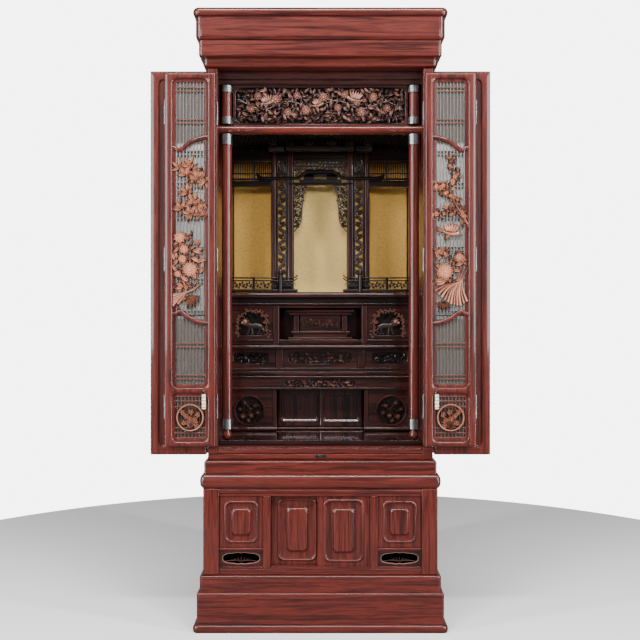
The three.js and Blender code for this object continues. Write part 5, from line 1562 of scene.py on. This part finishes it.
scroll = Work()
curl(scroll, -5, 0, 2, 6.5, 1.3, start=-1.2, turns=0.9, hand=1)
curl(scroll, 6, 0, -2, 5.0, 1.1, start=2.0, turns=0.8, hand=-1)
leaf(scroll, -2, 0.6, -1, 11, 4.5, 0.7, 1.8, curl=0.6)
leaf(scroll, 2, 0.6, -3, 9, 4, -0.9, 1.8, curl=-0.6)
scroll_pattern = pattern("railing scroll", scroll)
for side, place in SIDES:
    x0, x1, y0, y1, z0, z1 = span("railing_right")
    rail = Work()
    newel = 115
    block(rail, x0, x1, y0, y0 + 8, z0, z0 + 8, 1.6)
    block(rail, newel, x1, y0 + 1, y0 + 7, z0 + 31, z0 + 34.5, 1.2)
    run_along(rail, half_round(y0, y0 + 8, z0 + 39, z0 + 43), newel, x1)
    for height in (33, 41):
        tip = bend([(newel, z0 + height), (x0 + 22, z0 + height - 0.5), (x0 + 9, z0 + height + 1),
                    (x0 + 1, z0 + height + 8)])
        band(rail, tip, 3.4, y0 + 1, y0 + 7, 1.0)
    for px in (newel, 192):
        block(rail, px - 3.5, px + 3.5, y0 + 0.6, y0 + 7.4, z0, z0 + 42, 1.2, finish=1)
    turned(rail, newel, y0 + 4, [(6.8, z0), (7.6, z0 + 1), (7.6, z0 + 46), (5, z0 + 49), (6.8, z0 + 54),
                                 (6.4, z0 + 59), (3.4, z0 + 65), (0.8, z0 + 71)], 20, finish=1)
    dressed(f"railing_{side}", rail, [ebony_rail, ebony_stile], place=place)
    for title, start, end, count in (("railing_scrolls", 128, 262, 14), ("railing_end_scrolls", x0 + 16, 104, 5)):
        along_path(f"{title}_{side}", [(start, y0 + 4, z0 + 20), (end, y0 + 4, z0 + 20)], scroll_pattern, count,
                   ebony_rail, place=place)

# %% Posts, beams and lights of the palace front
_, PX1, _, _, PZ0, PZ1 = span("palace_frame")
face_y, back_y = 300, 312
VINE_X, POST_X, INNER_X = 112.5, 140, 97
palace_blocks = (
    (INNER_X, 128, face_y + 7, face_y + 9, PZ0, PZ0 + 8, 0.6),
    (POST_X, PX1, face_y - 2, back_y, 1189, 1205, 2.0),
    (POST_X, 180, face_y - 2, back_y, 1204, 1212, 1.6),
    (POST_X, PX1, face_y, back_y, 1262, 1270, 1.2),
    (INNER_X, PX1, face_y + 4, back_y, 1269, PZ1, 0.8),
    (POST_X, PX1, face_y + 1, back_y - 6, 1256, 1259.4, 0.8),
    (POST_X, PX1, face_y + 1, back_y - 6, 1225, 1228.4, 0.8),
    (POST_X, PX1, face_y + 1, back_y - 4, 1208, 1213, 0.8),
    (190, 195, face_y, back_y, 1208, 1263, 1.0),
    (96, 130, face_y + 2, back_y, 1222, 1230, 1.0),
    (96, 130, face_y + 2, back_y, 1264, PZ1 - 14, 1.0),
    (99.5 - 2.4, 99.5 + 2.4, face_y + 2, face_y + 8, PZ0, 1266, 1.0),
    (125.5 - 2.4, 125.5 + 2.4, face_y + 2, face_y + 8, PZ0, 1266, 1.0),
)
palace = Work()
for side in (-1, 1):
    for near, far in ((128, 143), (77, INNER_X)):
        block(palace, *on_side(side, near, far), face_y - 2, back_y + 3, PZ0, PZ1, 3.4, finish=1)
    for near, far, *rest in palace_blocks:
        block(palace, *on_side(side, near, far), *rest)
    arch_path = [(side * (VINE_X + 12 * math.cos(a)), 1250 + 16 * math.sin(a))
                 for a in (math.pi * i / 10 for i in range(11))]
    twig(palace, arch_path, (1.8, 1.8), face_y + 5, 1.2)
block(palace, -97, 97, face_y - 2, back_y, 1193, 1200, 1.6)
block(palace, -80, 80, face_y + 2, back_y, 1262, 1272, 1.6)
block(palace, -80, 80, face_y + 4, back_y, 1271, PZ1, 1.6)
right_arch = [(0, 1232.5), (30, 1232.5), (38, 1231), (48, 1225), (58, 1217), (68, 1213), (100, 1212), (140, 1212),
              (166, 1212.5), (178, 1216), (183, 1224)]
arched = bend([mirror((x, 0, z))[::2] for x, z in reversed(right_arch)] + right_arch[1:], 3)
band(palace, arched, 10, face_y - 8, face_y + 1, 3.2)
block(palace, -62, 62, face_y + 1, back_y - 4, 1199, 1210, 1.0)
for side in (-1, 1):
    block(palace, side * 34 - 16, side * 34 + 16, face_y + 3, back_y - 4, 1209, 1226, 1.0)
block(palace, -50, 50, face_y + 3, back_y - 4, 1217, 1229, 1.0)
dressed("palace_frame", palace, [ebony_rail, brown_stile])

# %% Slats, vines and hanging brackets
slat = bar("light slat", 0.4, (-0.9, 0.9, 2.4, 0, 52))
for side, place in SIDES:
    for title, start, step, count in (("light_slats_outer", 199.5, 6.6, 10), ("light_slats_inner", 147.5, 6.1, 7)):
        row_of(f"{title}_{side}", slat, (start, face_y + 4, 1210), (step, 0, 0), count, ebony_stile, ROOT,
               place=place)

sprig = Work()
twig(sprig, bend([(-19, -9), (-9, 4), (4, 10), (14, 4), (20, -9)]), (3.2, 3.2), 0, 0.9)
leaf(sprig, -7, 0, 3, 18, 9, -0.85, 2.6, curl=-0.6, lift=1.2)
leaf(sprig, 3, 0, 8, 19, 8, -1.6, 2.6, curl=0.7, lift=1.2)
leaf(sprig, 7, 0, 7, 15, 7, -0.35, 2.4, curl=-0.9, lift=1.2)
leaf(sprig, -11, 0, -2, 14, 7, 1.6, 2.2, curl=0.5, lift=1.0)
dome(sprig, 12, 0, 9, 3.6, 2.6, sides=8)
sprig_pattern = pattern("vine sprig", sprig)
for side, place in SIDES:
    for title, y, foot, head, count in (("vine_strip", face_y + 4, PZ0 + 22, 1184, 9),
                                        ("vine_light", face_y + 5, 1234, 1254, 2)):
        along_path(f"{title}_{side}", [(VINE_X, y, foot), (VINE_X, y, head)], sprig_pattern, count, dark_carving,
                   place=place, carved=True)
    bracket = Work()
    edge_path = bend([(38, 1195), (44, 1184), (49, 1168), (50, 1150), (53, 1130), (54, 1110), (56, 1092), (60, 1079),
                      (69, 1068), (76, 1058)], 3)
    twig(bracket, edge_path, (1.8, 1.8), face_y + 5, 1.4)
    bracket_die = random.Random(41)
    z = 1189
    while z > 1068:
        inner = min((ex for ex, ez in edge_path if abs(ez - z) < 8), default=70)
        count = max(1, round((80 - inner) / 9))
        for k in range(count):
            cx = inner + 6 + (80 - inner) * k / count
            curl(bracket, cx, face_y + 5, z + bracket_die.uniform(-1, 1), 5.2, 1.7, bracket_die.uniform(0, 6), 1.0,
                 1 if k % 2 else -1)
            leaf(bracket, cx, face_y + 5, z - 3, 10, 5, bracket_die.uniform(0, math.tau), 2, curl=0.8)
        z -= 9.5
    make_piece(f"hanging_bracket_{side}", bracket, [dark_carving], place=place, carved=True)
scrolls = Work()
scroll_die = random.Random(42)
for row in range(5):
    for k in range(16):
        cx, cz = -72 + k * 9.6 + (4.8 if row % 2 else 0), 1224 + row * 9.5
        if abs(cx) < 75 and (abs(cx) > 48 or cz > 1238):
            curl(scrolls, cx, face_y + 6, cz, 5.2, 1.6, scroll_die.uniform(0, 6), 1.05, 1 if cx > 0 else -1)
            leaf(scrolls, cx, face_y + 6, cz, 9, 5, scroll_die.uniform(0, math.tau), 2, curl=0.8)
make_piece("centre_light_scrolls", scrolls, [dark_carving], carved=True)

# %% Ceiling, brackets and gilded back
x0, x1, y0, y1, z0, z1 = span("altar_ceiling")
ceiling = Work()
slab_z = z1 - 8
block(ceiling, x0, x1, y0, y1, slab_z, z1, 0.5)
for x in (32, 84, 134):
    for side in (-1, 1):
        cx = side * x
        block(ceiling, cx - 5, cx + 5, 206, 228, 1290, 1294, 1.0)
        block(ceiling, cx - 12, cx + 12, 207, 213, 1293, 1297, 1.0)
        for off in (-9, 0, 9):
            block(ceiling, cx + off - 2.6, cx + off + 2.6, 205.5, 213, 1296.5, 1300, 0.8)
        block(ceiling, cx - 12, cx + 12, 205, 229, 1299.5, slab_z + 0.5, 1.0)
block(ceiling, -97, 97, 207, 227, 1277, 1291, 3.0)
for side in (-1, 1):
    block(ceiling, side * 124 - 23, side * 124 + 23, 208, 226, 1275, 1291, 3.0)
batten_half, limit = 1.1, x1 - 3


def clip(px, py, qx, qy):
    """Brings the first end of a batten in to the ceiling's sides."""
    if abs(px) <= limit:
        return px, py
    share = (math.copysign(limit, px) - px) / (qx - px)
    return math.copysign(limit, px), py + (qy - py) * share


for k in range(-26, 27):
    for lean in (-1, 1):
        (ax, ay), (bx, by) = [(k * 20 + lean * (y - 260), y) for y in (y0 + 6, y1 - 14)]
        if abs(ax) > limit and abs(bx) > limit and ax * bx > 0:
            continue
        loft(ceiling, [[(x - batten_half, y, slab_z - 1.8), (x + batten_half, y, slab_z - 1.8),
                        (x + batten_half, y, slab_z + 0.4), (x - batten_half, y, slab_z + 0.4)]
                       for x, y in (clip(ax, ay, bx, by), clip(bx, by, ax, ay))])
dressed("altar_ceiling", ceiling, [ebony_rail])
x0, x1, y0, y1, z0, z1 = span("gold_back_panel")
gilded = Work()
block(gilded, x0, x1, y0 + 0.4, y1, z0, z1, 0.4)
block(gilded, x0 + 1, -104, y0, y0 + 0.8, z0 + 1, z1 - 1, 0.2)
block(gilded, 104, x1 - 1, y0, y0 + 0.8, z0 + 1, z1 - 1, 0.2)
block(gilded, -103.5, 103.5, y0, y0 + 0.8, z0 + 1, z1 - 1, 0.2, finish=1)
dressed("gold_back_panel", gilded, [side_gold, middle_gold])

# %% [markdown]
# ## Clearing up
# The shapes that were only copied are removed, so that nothing but the cabinet is left to show.

# %% Remove the patterns
for made in patterns:
    bpy.data.objects.remove(made)

# %% [markdown]
# ## Studio
# A pale floor, a pale room and six lights: two soft boxes in front, a strip at each side and one overhead to
# draw the bright lines along the bevels, and a spot for the altar. The camera stands level at mid height,
# where the photograph's did.

# %% Floor, lights and camera
floor_mesh = bpy.data.meshes.new("studio floor")
FLOOR_RADIUS, FLOOR_SIDES = 1.7, 96
rim_points = [(x, y, 0) for x, y in circle(0, 0, FLOOR_RADIUS, FLOOR_SIDES)[:-1]]
floor_mesh.from_pydata(rim_points, [], [tuple(range(FLOOR_SIDES))])
floor = bpy.data.objects.new("studio_floor", floor_mesh)
bpy.context.scene.collection.objects.link(floor)
floor_finish, floor_tree, floor_shader = new_finish("pale floor")
seen = add_node(floor_tree, "ShaderNodeLightPath")
floor_tone = ramp(floor_tree, seen.outputs["Is Camera Ray"], [(0.0, (0.16, 0.16, 0.16)), (1.0, (0.95, 0.95, 0.95))])
floor_tree.links.new(floor_tone, floor_shader.inputs["Base Color"])
fill(floor_shader, Roughness=0.7)
floor_mesh.materials.append(floor_finish)
floor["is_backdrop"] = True

world = bpy.data.worlds.new("studio")
world.use_nodes = True
sky = world.node_tree.nodes["Background"]
ray = add_node(world.node_tree, "ShaderNodeLightPath")
room = add_node(world.node_tree, "ShaderNodeMapRange")
fill(sky, Color=(1.0, 1.0, 1.0, 1))
fill(room, To_Min=0.20, To_Max=6.0)
wire(world.node_tree, (ray, "Is Camera Ray", room, "Value"), (room, 0, sky, "Strength"))
bpy.context.scene.world = world


def hang(name, lamp, place, target):
    """Hangs a lamp at a place and turns it to its target."""
    holder = bpy.data.objects.new(name, lamp)
    holder.location = place
    holder.rotation_euler = (Vector(target) - Vector(place)).to_track_quat("-Z", "Y").to_euler()
    bpy.context.scene.collection.objects.link(holder)
    return holder


def soft_light(name, place, target, width, height, watts):
    lamp = bpy.data.lights.new(name, "AREA")
    lamp.shape = "RECTANGLE"
    lamp.size, lamp.size_y, lamp.energy = width, height, watts
    hang(name, lamp, place, target)


for kind, (out, front, up), target, width, height, watts in (
        ("soft box", (1.75, -3.1, 1.5), (0, 0.1, 0.9), 0.9, 1.8, 62),
        ("strip", (2.1, -1.35, 1.0), (0, -0.1, 0.8), 0.14, 2.6, 75)):
    for side, sign in (("left", -1), ("right", 1)):
        soft_light(f"{side} {kind}", (sign * out, front, up), target, width, height, watts)
soft_light("overhead strip", (0, -1.9, 3.1), (0, 0, 0.8), 2.6, 0.30, 130)
spot = bpy.data.lights.new("altar spot", "SPOT")
spot.energy, spot.spot_size, spot.spot_blend, spot.shadow_soft_size = 150, math.radians(15.5), 0.35, 0.12
hang("altar spot", spot, (0, -2.3, 1.22), (0, 0.2, 1.06)).visible_glossy = False

camera_data = bpy.data.cameras.new("camera")
camera_data.sensor_width = 36.0
camera_data.lens = 52.94
camera_data.shift_x = -0.0006
camera = bpy.data.objects.new("camera", camera_data)
camera.location = (0.0, -2.66, 0.8004)
camera.rotation_euler = (math.pi / 2, 0, 0)
bpy.context.scene.collection.objects.link(camera)
bpy.context.scene.camera = camera

# %% Measure and finish
low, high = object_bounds()
print("the dressed model measures", [round(c, 4) for c in high - low])
